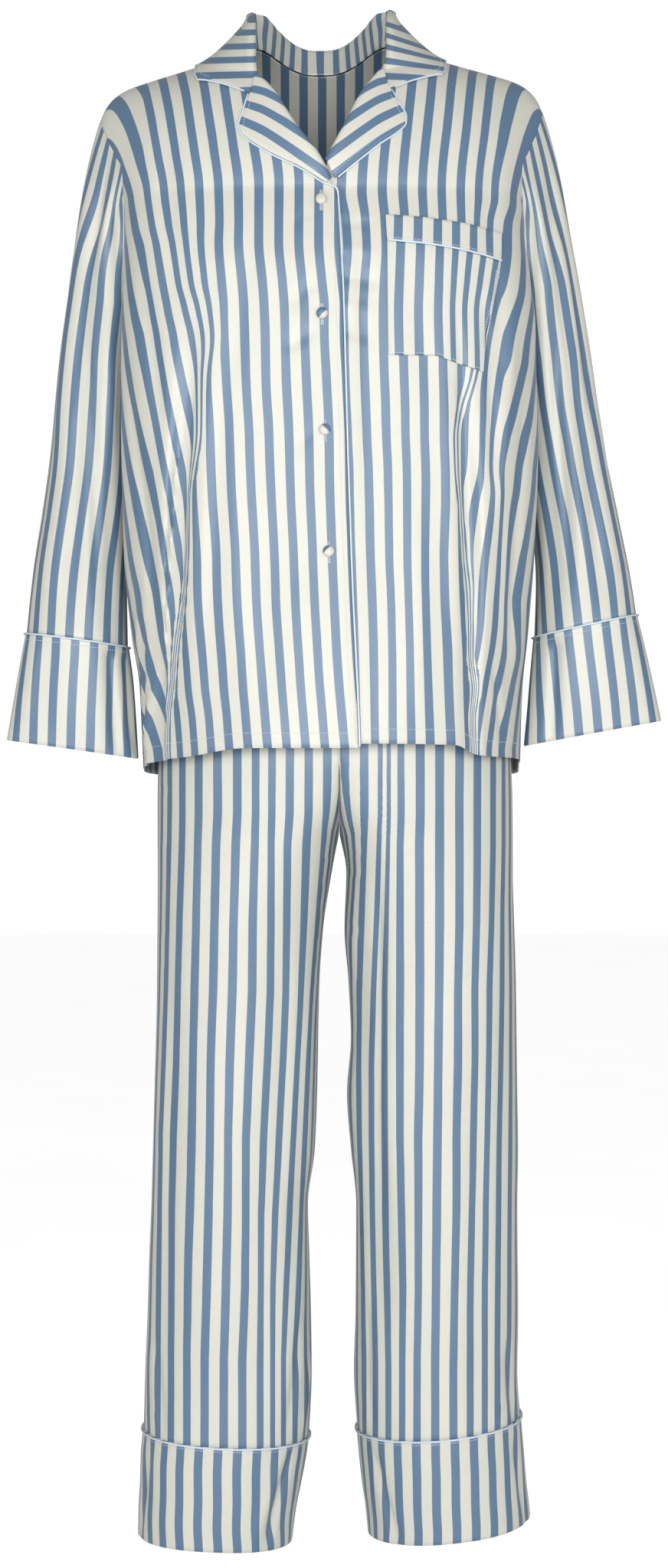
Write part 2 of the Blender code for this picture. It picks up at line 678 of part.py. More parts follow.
# roll line and outer edge of each lapel by share of its length, in the pattern coordinates of its front
LAPEL = {
    -1: table(
        ("share", "roll_u", "roll_v", "edge_u", "edge_v"),
        (
            (0.00, -0.0072, -0.1248, -0.0045, -0.1266), (0.19, 0.0045, -0.1080, 0.0170, -0.1162),
            (0.48, 0.0265, -0.0845, 0.0507, -0.1027), (0.65, 0.0390, -0.0665, 0.0694, -0.0911),
            (0.71, 0.0425, -0.0608, 0.0742, -0.0860), (0.76, 0.0460, -0.0560, 0.0755, -0.0803),
            (0.83, 0.0512, -0.0495, 0.0723, -0.0711), (0.93, 0.0585, -0.0400, 0.0686, -0.0580),
            (1.00, 0.0620, -0.0358, 0.0660, -0.0514),
        ),
    ),
    1: table(
        ("share", "roll_u", "roll_v", "edge_u", "edge_v"),
        (
            (0.00, 0.0064, -0.1118, 0.0126, -0.1232), (0.19, 0.0166, -0.0972, 0.0334, -0.1104),
            (0.45, 0.0295, -0.0767, 0.0553, -0.0967), (0.66, 0.0395, -0.0588, 0.0741, -0.0839),
            (0.72, 0.0425, -0.0548, 0.0778, -0.0795), (0.78, 0.0460, -0.0503, 0.0780, -0.0731),
            (0.84, 0.0500, -0.0450, 0.0743, -0.0670), (0.93, 0.0560, -0.0360, 0.0678, -0.0560),
            (1.00, 0.0588, -0.0326, 0.0628, -0.0496),
        ),
    ),
}
LAPEL_ROLL = ((-0.0030, -0.0012), (-0.0033, 0.0012), (-0.0019, 0.0036), (0.0008, 0.0046))
LAPEL_LIFT = 0.0026


def lapel_points(side, rows, columns):
    share = np.linspace(0, 1, rows)
    t = LAPEL[side]
    a = np.stack((t["roll_u"](share), t["roll_v"](share)), -1)
    b = np.stack((t["edge_u"](share), t["edge_v"](share)), -1)
    wide = np.linalg.norm(b - a, axis=1, keepdims=True)
    way = (b - a) / wide
    run = np.gradient(a, axis=0)
    square = np.stack((run[:, 1], -run[:, 0]), -1) / np.linalg.norm(run, axis=1, keepdims=True)
    place, height = [], []
    for off, lift in LAPEL_ROLL:
        place.append(a + (square if off < 0 else way) * off)
        height.append(np.full(rows, lift))
    for k in range(1, columns + 1):
        part = k / columns
        off = 0.0008 + (wide - 0.0008) * part
        place.append(a + way * off)
        height.append(LAPEL_LIFT + (0.0046 - LAPEL_LIFT) * (1 - part) ** 1.5 + np.zeros(rows))
    place = np.stack(place, 1)
    height = np.stack(height, 1)
    return on_body(side, place[..., 0], place[..., 1], height)


# the collar by share from the notch to the centre back: neck line, outer edge, rise of the fold, how far the fold
# leans over the neck, and the shift of the left half's neck line
COLLAR_NAMES = ("share", "neck_u", "neck_v", "edge_u", "edge_v", "rise", "lean", "shift_u", "shift_v")
COLLAR_ROWS = (
    (0.000, 0.0670, -0.0511, 0.1160, -0.0150, 0.0032, 0.0000, -0.0032, 0.0018),
    (0.050, 0.0652, -0.0434, 0.1180, -0.0085, 0.0036, 0.0000, -0.0032, 0.0025),
    (0.105, 0.0631, -0.0355, 0.1190, -0.0010, 0.0044, 0.0000, -0.0032, 0.0032),
    (0.128, 0.0632, -0.0338, 0.1191, 0.0025, 0.0050, 0.0000, -0.0030, 0.0031),
    (0.170, 0.0645, -0.0260, 0.1192, 0.0090, 0.0072, 0.0005, -0.0030, 0.0022),
    (0.250, 0.0652, -0.0080, 0.1192, 0.0250, 0.0150, 0.0040, -0.0015, 0.0010),
    (0.350, 0.0662, 0.0230, 0.1182, 0.0430, 0.0260, 0.0085, -0.0003, 0.0),
    (0.450, 0.0660, 0.0585, 0.1165, 0.0620, 0.0320, 0.0095, 0.0, 0.0),
    (0.580, 0.0590, 0.0735, 0.1080, 0.0860, 0.0325, 0.0080, 0.0, 0.0),
    (0.720, 0.0440, 0.0965, 0.0830, 0.1130, 0.0330, 0.0050, 0.0, 0.0),
    (0.860, 0.0230, 0.1160, 0.0440, 0.1320, 0.0335, 0.0040, 0.0, 0.0),
    (1.000, 0.0000, 0.1213, 0.0000, 0.1400, 0.0335, 0.0040, 0.0, 0.0),
)
COLLAR = table(COLLAR_NAMES, COLLAR_ROWS)
COLLAR_LIFT = 0.0026
COLLAR_STATIONS = (0.0, 0.05, 0.105, 0.128, 0.17, 0.25, 0.35, 0.45, 0.54, 0.63, 0.72, 0.81, 0.90, 1.0)
NOTCH_SHIFT = {-1: 0.0, 1: -0.0030}   # the left notch sits a little nearer the centre


def collar_half(side, stations, columns):
    """Half of the collar, from the notch to the centre back, as rows of points across it."""
    share = np.asarray(stations, float)
    t = COLLAR
    fade = np.clip(1 - share / 0.45, 0, 1) * NOTCH_SHIFT[side]
    rise = t["rise"](share)
    # the inner side first leaves the front's edge, then drops into the neck
    wrap, drop = step((share - 0.106) / 0.020), step((share - 0.125) / 0.045)
    own = max(side, 0)
    neck_v = t["neck_v"](share) + own * t["shift_v"](share)
    neck_v = np.where(share > 0.45, RIDGE_V + neck_drop(t["neck_u"](share)), neck_v)
    # off the panel, the neck line follows the front's own edge
    border = EDGE_RIGHT if side < 0 else EDGE_LEFT
    follow = wrap * step((RIDGE_V - neck_v) / 0.03)
    neck_u = (t["neck_u"](share) + own * t["shift_u"](share)) * (1 - follow) + border(neck_v) * follow
    a = np.stack((neck_u, neck_v), -1)
    b = np.stack((t["edge_u"](share) + fade, t["edge_v"](share) - fade * 0.3), -1)
    wide = np.linalg.norm(b - a, axis=1, keepdims=True)
    way = (b - a) / wide
    run = np.gradient(a, share, axis=0)
    run /= np.linalg.norm(run, axis=1, keepdims=True)
    slope = (border(neck_v + 0.003) - border(neck_v - 0.003)) / 0.006
    slope = np.stack((slope, np.ones_like(slope)), -1) / np.hypot(slope, 1)[:, None]
    run = run * (1 - follow[:, None]) + slope * follow[:, None]
    square = np.stack((run[:, 1], -run[:, 0]), -1) / np.linalg.norm(run, axis=1, keepdims=True)
    low = -0.0012 * (1 - step(rise / 0.02))
    place, height = [], []
    roll = (
        (-0.0033, low, 0.0000),
        (-0.0036, low + (rise - low) * 0.45, 0.0008),
        (-0.0028, np.maximum(rise - 0.0036, low + (rise - low) * 0.62), 0.0016),
        (-0.0012, rise - 0.0009, 0.0024),
        (0.0018, rise, 0.0036),
    )
    for (off, lift, plain), part in zip(roll, (0.0, 0.4, 0.8, 1.0, 1.0)):
        gone = (plain - 0.0030 * wrap) * (1 - drop) + (off - t["lean"](share) * part) * drop
        place.append(a + np.where(gone < 0, 1, 0)[:, None] * square * gone[:, None]
                     + np.where(gone < 0, 0, 1)[:, None] * way * gone[:, None])
        height.append(lift * drop + COLLAR_LIFT * (1 - drop))
    start = gone
    for k in range(1, columns + 1):
        part = k / columns
        place.append(a + way * (start[:, None] + (wide - start[:, None]) * part))
        height.append(COLLAR_LIFT + (height[4] - COLLAR_LIFT) * (1 - part) ** 1.3)
    place, height = np.stack(place, 1), np.stack(height, 1)
    u = np.maximum(place[..., 0], 0.0)
    return on_body(side, u, place[..., 1], height), place


def collar_points(stations, columns):
    right = collar_half(-1, stations, columns)[0]
    left = collar_half(1, stations, columns)[0]
    middle = (right[-1] + left[-1]) / 2
    middle[:, 0] = float(CENTRE_X(0.0))
    return np.concatenate((right[:-1], middle[None], left[:-1][::-1]))


def make_lapels(colour, trim):
    shift = PIPING_RADIUS + 0.0007
    for word, side in (("right", -1), ("left", 1)):
        points = lapel_points(side, 11, 3)
        wall(f"lapel_{word}", points, DOUBLE, colour, core=body_core(points))
        share = np.linspace(0, 0.975, 60)
        t = LAPEL[side]
        line = np.stack((t["edge_u"](share), t["edge_v"](share)), -1)
        roll = np.stack((t["roll_u"](share), t["roll_v"](share)), -1)
        way = np.gradient(line, axis=0)
        way /= np.linalg.norm(way, axis=1, keepdims=True)
        off = np.stack((way[:, 1], -way[:, 0]), -1)
        off *= np.sign(np.sum(off * (line - roll)))
        line = line + off * shift
        rise = np.full(len(line), PIPING_RADIUS + 0.0005)
        path = on_body(side, line[:, 0], line[:, 1], rise)[::-1]
        if side < 0:
            v = np.concatenate((np.linspace(-0.1300, -0.155, 12), np.linspace(-0.165, -0.6485, 60)))
            u = EDGE_RIGHT(v) - shift - 0.0004
            h = 0.0017 + (-0.0007 - 0.0017) * step((-0.1295 - v) / 0.006)
            edge = on_body(side, u, v, h)
            path = np.concatenate((resample(path[:-1], 20), resample(edge[:12], 5), resample(edge[12:], 18)))
        else:
            path = resample(path[:-3], 16)
        cord(f"piping_front_{word}", path, PIPING_RADIUS, trim)


def make_collar(colour, trim):
    points = collar_points(COLLAR_STATIONS, 4)
    wall("collar", points, DOUBLE, colour, core=body_core(points))
    shift = PIPING_RADIUS + 0.0006
    paths = []
    for side in (-1, 1):
        place = collar_half(side, np.linspace(0, 1, 41), 12)[1]
        front, outer = place[0, 4:], place[:, -1]
        front = np.concatenate((front[:1] + (front[1:2] - front[:1]) * 0.35, front[1:]))
        offs = []
        for line, inner in ((front, place[3, 4:]), (outer, place[:, -3])):
            way = np.gradient(line, axis=0)
            way /= np.linalg.norm(way, axis=1, keepdims=True)
            off = np.stack((way[:, 1], -way[:, 0]), -1)
            offs.append(off * np.sign(np.sum(off * (line - inner))))
        corner = offs[0][-1] + offs[1][0]
        corner = outer[0] + corner * shift / (1 + np.dot(offs[0][-1], offs[1][0]))
        ends = []
        for line in (
            np.concatenate(((front + offs[0] * shift)[:-1], corner[None])),
            np.concatenate((corner[None], (outer + offs[1] * shift)[1:])),
        ):
            ends.append(on_body(side, np.maximum(line[:, 0], 0), line[:, 1], np.full(len(line), 0.0019)))
        paths.append(np.concatenate((resample(ends[0], 4)[:-1], resample(ends[1], 17))))
    right, left = paths
    right[-1, 0] = left[-1, 0] = float(CENTRE_X(0.0))
    cord("piping_collar", np.concatenate((right, left[:-1][::-1])), PIPING_RADIUS, trim)


# ---------------------------------------------------------------- pocket and buttons

POCKET_LEFT = table(
    ("share", "u", "v"),
    ((0.0, 0.0612, -0.1812), (0.5, 0.0610, -0.2340), (1.0, 0.0612, -0.2869)),
)
POCKET_RIGHT = table(
    ("share", "u", "v"),
    ((0.0, 0.1686, -0.1966), (0.25, 0.1645, -0.2225), (0.62, 0.1545, -0.2654), (1.0, 0.1495, -0.3005)),
)
POCKET_FOOT = smooth((0.0, 0.47, 0.65, 1.0), (0.0, 0.0, 0.35, 1.0))
BAND = {"top": ((0.0600, -0.1577), (0.1744, -0.1706)), "foot": ((0.0612, -0.1806), (0.1694, -0.1958))}
POCKET_LIFT = 0.0022
BAND_LIFT = 0.0033


def pocket_place(share_across, share_down):
    """Pattern coordinates of the pocket body."""
    lu, lv = POCKET_LEFT["u"](share_down), POCKET_LEFT["v"](share_down)
    ru, rv = POCKET_RIGHT["u"](share_down), POCKET_RIGHT["v"](share_down)
    bend = share_across + (POCKET_FOOT(share_across) - share_across) * share_down
    return lu + (ru - lu) * share_across, lv + (rv - lv) * bend


def band_place(share_across, share_down):
    (au, av), (bu, bv) = BAND["top"]
    (cu, cv), (du, dv) = BAND["foot"]
    tu, tv = au + (bu - au) * share_across, av + (bv - av) * share_across
    fu, fv = cu + (du - cu) * share_across, cv + (dv - cv) * share_across
    sag = 0.0022 * np.sin(math.pi * share_across)
    return tu + (fu - tu) * share_down, tv + (fv - tv) * share_down + sag


def make_pocket(colour, trim):
    across, down = np.meshgrid(np.linspace(0, 1, 13), np.linspace(0, 1, 8))
    u, v = pocket_place(across, down)
    points = on_body(1, u, v + 0.0022 * np.sin(math.pi * across) * (1 - down), np.full(u.shape, POCKET_LIFT))
    wall("pocket", points, 0.0014, colour, core=body_core(points))
    across, down = np.meshgrid(np.linspace(0, 1, 11), np.linspace(0, 1, 3))
    u, v = band_place(across, down)
    points = on_body(1, u, v, np.full(u.shape, BAND_LIFT))
    wall("pocket_band", points, DOUBLE, colour, core=body_core(points))
    share = np.linspace(0.0, 1.0, 12)
    u, v = band_place(share, np.ones(12))
    path = on_body(1, u, v - 0.0008, np.full(12, BAND_LIFT + PIPING_RADIUS + 0.0003))
    cord("piping_pocket", path, PIPING_RADIUS, trim)


BUTTON_V = (-0.1417, -0.2487, -0.3563, -0.4689)


def make_buttons(colour):
    profile = table(
        ("share", "r", "h"),
        ((0.0, 1.0, 0.0), (0.3, 1.0, 0.45), (0.6, 0.80, 0.85), (1.0, 0.0, 1.0)),
    )
    for k, v in enumerate(BUTTON_V):
        u = np.array(0.0)
        base = on_body(-1, u, np.array(v), 0.0004)
        tip = on_body(-1, u, np.array(v), 0.0014)
        n = (tip - base) / np.linalg.norm(tip - base)
        a = np.cross(n, (0.0, 0.0, 1.0))
        a /= np.linalg.norm(a)
        b = np.cross(n, a)
        sides = 10
        points, faces = [], []
        for share in (0.0, 0.3, 0.6):
            r, h = float(profile["r"](share)) * BUTTON_RADIUS, float(profile["h"](share)) * BUTTON_HEIGHT
            for j in range(sides):
                w = 2 * math.pi * j / sides
                points.append(base + n * h + r * (math.cos(w) * a + math.sin(w) * b))
        points.append(base + n * BUTTON_HEIGHT)
        for i in range(2):
            for j in range(sides):
                m = (j + 1) % sides
                faces.append((i * sides + j, i * sides + m, (i + 1) * sides + m, (i + 1) * sides + j))
        for j in range(sides):
            faces.append((2 * sides + j, 2 * sides + (j + 1) % sides, 3 * sides))
        faces.append(tuple(range(sides)))
        new_object(f"button_{k + 1}", points, faces, colour, 0.35)


# ---------------------------------------------------------------- trousers

WAIST_Z = -0.430
CROTCH_Z = -0.7310
FORK_X = 0.0050
HIP = table(
    ("z", "right", "left", "front", "back"),
    (
        (-0.430, 0.136, 0.136, 0.098, 0.100), (-0.500, 0.151, 0.152, 0.106, 0.112),
        (-0.580, 0.162, 0.164, 0.112, 0.122), (-0.650, 0.1680, 0.1690, 0.112, 0.124),
        (-0.700, 0.1690, 0.1710, 0.107, 0.120), (-0.731, 0.1690, 0.1713, 0.101, 0.115),
    ),
)
LEG = {
    -1: table(
        ("z", "outer", "inner", "front", "back"),
        (
            (-0.731, -0.1690, 0.0047, 0.101, 0.115), (-0.768, -0.1688, -0.0022, 0.096, 0.108),
            (-0.821, -0.1691, -0.0103, 0.091, 0.101), (-0.874, -0.1695, -0.0140, 0.087, 0.096),
            (-0.980, -0.1721, -0.0162, 0.083, 0.089), (-1.033, -0.1735, -0.0184, 0.081, 0.086),
            (-1.086, -0.1750, -0.0250, 0.080, 0.084), (-1.139, -0.1772, -0.0235, 0.079, 0.082),
            (-1.192, -0.1787, -0.0220, 0.079, 0.081), (-1.245, -0.1809, -0.0213, 0.079, 0.080),
            (-1.298, -0.1824, -0.0235, 0.080, 0.080), (-1.324, -0.1846, -0.0265, 0.080, 0.080),
            (-1.351, -0.1853, -0.0316, 0.080, 0.079), (-1.377, -0.1868, -0.0368, 0.080, 0.078),
            (-1.410, -0.1872, -0.0410, 0.079, 0.077),
        ),
    ),
    1: table(
        ("z", "outer", "inner", "front", "back"),
        (
            (-0.731, 0.1713, 0.0053, 0.101, 0.115), (-0.768, 0.1713, 0.0118, 0.096, 0.108),
            (-0.821, 0.1728, 0.0100, 0.091, 0.101), (-0.874, 0.1743, 0.0140, 0.087, 0.096),
            (-0.927, 0.1750, 0.0162, 0.085, 0.092), (-0.980, 0.1757, 0.0125, 0.083, 0.089),
            (-1.033, 0.1765, 0.0162, 0.081, 0.086), (-1.086, 0.1757, 0.0213, 0.080, 0.084),
            (-1.192, 0.1765, 0.0206, 0.079, 0.081), (-1.245, 0.1757, 0.0191, 0.079, 0.080),
            (-1.298, 0.1794, 0.0221, 0.080, 0.080), (-1.324, 0.1816, 0.0243, 0.080, 0.080),
            (-1.351, 0.1838, 0.0272, 0.080, 0.079), (-1.377, 0.1868, 0.0309, 0.080, 0.078),
            (-1.410, 0.1890, 0.0340, 0.079, 0.077),
        ),
    ),
}
FORK = {
    -1: smooth((-0.66, -0.69, -0.71, -0.724, -0.731), (0.112, 0.094, 0.066, 0.030, SEAM / 2)),
    1: smooth((-0.62, -0.66, -0.69, -0.714, -0.731), (0.122, 0.113, 0.092, 0.050, SEAM / 2)),
}
# height of the cuff seam and of the foot by leg: at the outer side, the front, the inner side and the back
CUFF_SEAM = {-1: (-1.299, -1.304, -1.3065, -1.303), 1: (-1.286, -1.2965, -1.300, -1.296)}
FOOT = {-1: (-1.399, -1.401, -1.406, -1.403), 1: (-1.382, -1.393, -1.399, -1.394)}
LEG_SQUARE = 2.3
# soft upright folds of the trouser fronts: share of the width at the top and at the foot, start and end height,
# depth and half width in shares
LEG_FOLDS = {
    -1: ((0.66, 0.62, -0.80, -1.30, -0.0030, 0.08), (0.30, 0.26, -0.86, -1.30, -0.0030, 0.08)),
    1: ((0.80, 0.74, -0.76, -1.22, -0.0070, 0.08), (0.36, 0.34, -0.90, -1.32, -0.0030, 0.08)),
}


def leg_line(side, face, q, z):
    """Outer line of a leg half at turn q, 0 at the side seam and 1 at the inner edge, and height z."""
    q, z = np.broadcast_arrays(np.asarray(q, float), np.asarray(z, float))
    depth = "back" if face > 0 else "front"
    word = "left" if side > 0 else "right"
    leg, above = LEG[side], z > CROTCH_Z
    outer = np.where(above, side * HIP[word](z), leg["outer"](z))
    deep = np.where(above, HIP[depth](z), leg[depth](z))
    inner = np.where(above, FORK_X + side * SEAM / 2, leg["inner"](z))
    inner_y = np.where(above, np.minimum(FORK[face](z), deep), SEAM / 2)
    blend = step((-0.60 - z) / 0.24)
    crest = FORK_X + ((outer + leg["inner"](z)) / 2 - FORK_X) * blend
    crest = np.where(side * (crest - inner) < 0, inner, crest)
    # the line splits at the crest into a part to the side seam and a part to the inner edge
    split = 1 - 0.5 * blend
    first = q <= split
    a = np.clip(q / split, 0, 1) * math.pi / 2
    b = np.clip((q - split) / (1 - split + 1e-9), 0, 1) * math.pi / 2
    e = 2 / LEG_SQUARE
    xa = crest + (outer - crest) * np.cos(a) ** e
    ya = deep * np.sin(a) ** e
    xb = crest + (inner - crest) * np.sin(b) ** e
    yb = inner_y + (deep - inner_y) * np.cos(b) ** e
    return np.where(first, xa, xb), np.maximum(np.where(first, ya, yb), SEAM / 2)


def leg_map(side, face):
    """Lines of a leg half at all levels, at 120 even shares from the side seam. Round the fork the line grows quickly
    longer, and the columns near its inner edge take that up, so that the rest of the panel stays even."""
    shares = np.linspace(0, 1, 121)
    lines = []
    for z in LEG_LEVELS:
        x, y = leg_line(side, face, np.linspace(0, 1, 700), np.full(700, z))
        lines.append((np.concatenate(([0], np.cumsum(np.hypot(np.diff(x), np.diff(y))))), x, y))
    full = np.array([along[-1] for along, _, _ in lines])
    high, low = (np.interp(z, LEG_LEVELS, full) for z in (-0.60, -0.92))
    calm = high + (low - high) * step((-0.60 - LEG_LEVELS) / 0.32)
    calm = np.where((LEG_LEVELS > -0.60) | (LEG_LEVELS < -0.92), full, calm)
    xs, ys = [], []
    for (along, x, y), even in zip(lines, calm):
        marks = shares * even + (along[-1] - even) * shares**5
        xs.append(np.interp(marks, along, x))
        ys.append(np.interp(marks, along, y))
    return np.array(xs), np.array(ys)


LEG_LEVELS = np.linspace(-1.415, WAIST_Z, 198)
LEG_MAPS = {(side, face): leg_map(side, face) for side in (-1, 1) for face in (-1, 1)}


def leg_point(side, face, q, z):
    """Outer surface of a leg half at height z and share q of its width, 0 at the side seam, 1 at the inner edge."""
    q, z = np.broadcast_arrays(np.asarray(q, float), np.asarray(z, float))
    xs, ys = LEG_MAPS[(side, face)]
    a = np.clip(q * 120, 0, 119.999)
    b = np.clip((z - LEG_LEVELS[0]) / (LEG_LEVELS[1] - LEG_LEVELS[0]), 0, len(LEG_LEVELS) - 1.001)
    i, j = a.astype(int), b.astype(int)
    a, b = a - i, b - j

    def read(g):
        low, high = (g[j + k, i] * (1 - a) + g[j + k, i + 1] * a for k in (0, 1))
        return low * (1 - b) + high * b

    x, y = read(xs), read(ys)
    if face < 0:
        push = np.zeros_like(q)
        for top, low, z0, z1, dip, wide in LEG_FOLDS[side]:
            middle = top + (low - top) * np.clip((z - z0) / (z1 - z0), 0, 1)
            grow = step((z0 - z) / 0.10) * step((z - z1 + 0.02) / 0.10)
            push = push + dip * grow * np.exp(-(((q - middle) / wide) ** 2))
        y = np.maximum(y + push * step(y / 0.03), SEAM / 2)
    return np.stack((x, face * y, z), -1)


def around(heights, face, q):
    """A height that runs smoothly from the side seam over the front or back to the inner side."""
    outer, front, inner, back = heights
    middle = back if face > 0 else front
    half = np.sin(step(q) * math.pi)
    base = outer + (inner - outer) * step(q)
    return base + (middle - (outer + inner) / 2) * half


LEG_ROWS = (0.0, 0.08, 0.16, 0.24, 0.285, 0.315, 0.335, 0.3455, 0.37, 0.42, 0.50, 0.60, 0.72, 0.86, 1.0)


def leg_panel(side, face, columns):
    q = np.linspace(0, 1, columns)
    end = around(CUFF_SEAM[side], face, q)
    rows = []
    for part in LEG_ROWS:
        z = (WAIST_Z - SEAM) + (end + SEAM / 2 - (WAIST_Z - SEAM)) * part
        rows.append(leg_point(side, face, q, z))
    return np.array(rows)


def leg_ring(side, heights, count, grow=0.0):
    """A closed ring round a leg at the given heights, grown outward."""
    half = count // 2
    q = np.linspace(0, 1, half + 1)
    front = leg_point(side, -1, q, around(heights, -1, q))
    back = leg_point(side, 1, q, around(heights, 1, q))
    ring_points = np.concatenate((front, back[1:-1][::-1]))
    ring_points[0, 1] = ring_points[half, 1] = 0.0
    if grow:
        t = np.roll(ring_points, -1, axis=0) - np.roll(ring_points, 1, axis=0)
        n = np.stack((t[:, 1], -t[:, 0], np.zeros(len(t))), -1)
        n /= np.linalg.norm(n, axis=1, keepdims=True)
        n *= np.sign(np.sum(n * (ring_points - ring_points.mean(axis=0)), axis=1, keepdims=True))
        ring_points = ring_points + n * grow
    return ring_points


def make_trousers(colour, trim):
    for word, side in (("right", -1), ("left", 1)):
        for part, face in (("front", -1), ("back", 1)):
            points = leg_panel(side, face, 12)
            core = points.copy()
            core[..., 0], core[..., 1] = side * 0.085, 0.0
            wall(f"trouser_{part}_{word}", points, CLOTH, colour, core=core)
        top, foot = CUFF_SEAM[side], FOOT[side]
        rows = []
        for share in (0.0, 0.33, 0.67, 1.0):
            heights = tuple(a - SEAM + (b - a + SEAM) * share for a, b in zip(top, foot))
            rows.append(leg_ring(side, heights, 24, 0.0006))
        wall(f"trouser_cuff_{word}", np.array(rows), DOUBLE, colour, closed=True)
        heights = tuple(a - 0.0008 for a in top)
        loop = leg_ring(side, heights, 24, 0.0006 + PIPING_RADIUS + 0.0005)
        cord(f"piping_leg_{word}", loop, PIPING_RADIUS, trim, closed=True)


WAISTBAND_HEIGHT = 0.035


def make_waistband(colour):
    turn = np.linspace(0, 2 * math.pi, 28, endpoint=False)
    rows = []
    for z in (WAIST_Z + SEAM / 2, WAIST_Z + WAISTBAND_HEIGHT / 2, WAIST_Z + WAISTBAND_HEIGHT):
        a, b = np.cos(turn), np.sin(turn)
        e = 2 / LEG_SQUARE
        x = np.sign(a) * np.abs(a) ** e * (0.136 - 0.10 * (z - WAIST_Z))
        y = np.sign(b) * np.abs(b) ** e * (0.098 - 0.08 * (z - WAIST_Z))
        rows.append(np.stack((x, y, np.full(len(turn), z)), -1))
    wall("waistband", np.array(rows), 0.0025, colour, closed=True)


def main():
    for item in list(bpy.data.objects):
        bpy.data.objects.remove(item, do_unlink=True)
    cloth = (0.56, 0.64, 0.70)
    trim = (0.62, 0.74, 0.90)
    make_fronts(cloth)
    make_back(cloth)
    make_sleeves(cloth, trim)
    make_lapels(cloth, trim)
    make_collar(cloth, trim)
    make_pocket(cloth, trim)
    make_buttons(cloth)
    make_trousers(cloth, trim)
    make_waistband(cloth)


if __name__ == "__main__":
    main()
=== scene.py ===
"""Striped satin pyjama set in its worn form: cloth, piping, buttons and sewing, and a plain studio."""

import math
from functools import partial

import bmesh
import bpy
import numpy as np
from bpy.props import FloatProperty, FloatVectorProperty, PointerProperty
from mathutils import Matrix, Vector


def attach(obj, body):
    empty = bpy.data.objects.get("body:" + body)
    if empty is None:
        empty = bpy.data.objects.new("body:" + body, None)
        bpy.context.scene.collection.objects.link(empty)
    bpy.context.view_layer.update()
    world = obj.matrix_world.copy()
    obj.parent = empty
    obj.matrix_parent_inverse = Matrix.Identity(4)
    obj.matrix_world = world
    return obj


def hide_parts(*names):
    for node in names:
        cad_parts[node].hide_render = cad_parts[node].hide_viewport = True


bl_info = {
    "name": "Pyjama set",
    "version": (1, 0, 0),
    "blender": (4, 5, 0),
    "location": "3D View > Sidebar > Pyjamas",
    "description": "Makes the cloth, trim and sewing of a striped satin pyjama set",
    "category": "Object",
}

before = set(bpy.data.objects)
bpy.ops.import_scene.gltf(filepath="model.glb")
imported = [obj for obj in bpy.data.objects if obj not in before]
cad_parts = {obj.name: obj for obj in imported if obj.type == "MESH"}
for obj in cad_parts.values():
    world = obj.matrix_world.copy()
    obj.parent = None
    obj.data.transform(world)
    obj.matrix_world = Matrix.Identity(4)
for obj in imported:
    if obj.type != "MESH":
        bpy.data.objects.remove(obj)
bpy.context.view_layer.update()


# ---------------------------------------------------------------- the sizes that a maker would change

class ClothSettings(bpy.types.PropertyGroup):
    wall: FloatProperty(
        name="Single cloth", description="Thickness of one layer", default=0.0013, unit="LENGTH"
    )
    double: FloatProperty(
        name="Double cloth", description="Thickness of a faced piece", default=0.0018, unit="LENGTH"
    )
    cell: FloatProperty(
        name="Cell", description="Size of the cloth's mesh cells", default=0.0034, unit="LENGTH"
    )
    pitch: FloatProperty(
        name="Stripe pitch", description="From stripe to stripe", default=0.0184, unit="LENGTH"
    )
    blue_width: FloatProperty(
        name="Blue stripe", description="Width of a blue stripe", default=0.0087, unit="LENGTH"
    )
    blue: FloatVectorProperty(
        name="Blue", description="Colour of the blue stripes", subtype="COLOR", size=3, min=0, max=1,
        default=(0.096, 0.178, 0.286),
    )
    cream: FloatVectorProperty(
        name="Cream", description="Colour of the pale stripes", subtype="COLOR", size=3, min=0, max=1,
        default=(0.63, 0.62, 0.54),
    )
    gloss: FloatProperty(name="Roughness", description="Roughness of the satin", default=0.40, min=0, max=1)


class TrimSettings(bpy.types.PropertyGroup):
    piping: FloatProperty(
        name="Piping radius", description="Radius of the piping", default=0.0009, unit="LENGTH"
    )
    piping_colour: FloatVectorProperty(
        name="Piping", description="Colour of the piping", subtype="COLOR", size=3, min=0, max=1,
        default=(0.60, 0.70, 0.78),
    )
    stitch: FloatProperty(name="Stitch", description="From stitch to stitch", default=0.0026, unit="LENGTH")
    thread: FloatProperty(name="Thread", description="Radius of the thread", default=0.00028, unit="LENGTH")
    thread_colour: FloatVectorProperty(
        name="Thread colour", description="Colour of the sewing thread", subtype="COLOR", size=3, min=0,
        max=1, default=(0.76, 0.79, 0.82),
    )
    button: FloatProperty(
        name="Button radius", description="Radius of a button", default=0.0054, unit="LENGTH"
    )
    dome: FloatProperty(
        name="Button height", description="Height of a button", default=0.0040, unit="LENGTH"
    )


class StudioSettings(bpy.types.PropertyGroup):
    lens: FloatProperty(name="Lens", description="Focal length", default=71.72, unit="CAMERA")
    distance: FloatProperty(name="Distance", description="From lens to object", default=3.0, unit="LENGTH")
    height: FloatProperty(name="Height", description="Height of the lens", default=-0.683, unit="LENGTH")
    floor: FloatProperty(name="Floor", description="Height of the floor", default=-1.50, unit="LENGTH")
    key: FloatProperty(
        name="Key light", description="Power of the large soft light", default=79.0, unit="POWER"
    )
    side: FloatProperty(
        name="Side lights", description="Power of each side light", default=16.0, unit="POWER"
    )
    sky: FloatProperty(name="Fill", description="Strength of the light all round", default=0.34, min=0)


# ---------------------------------------------------------------- tables and curves

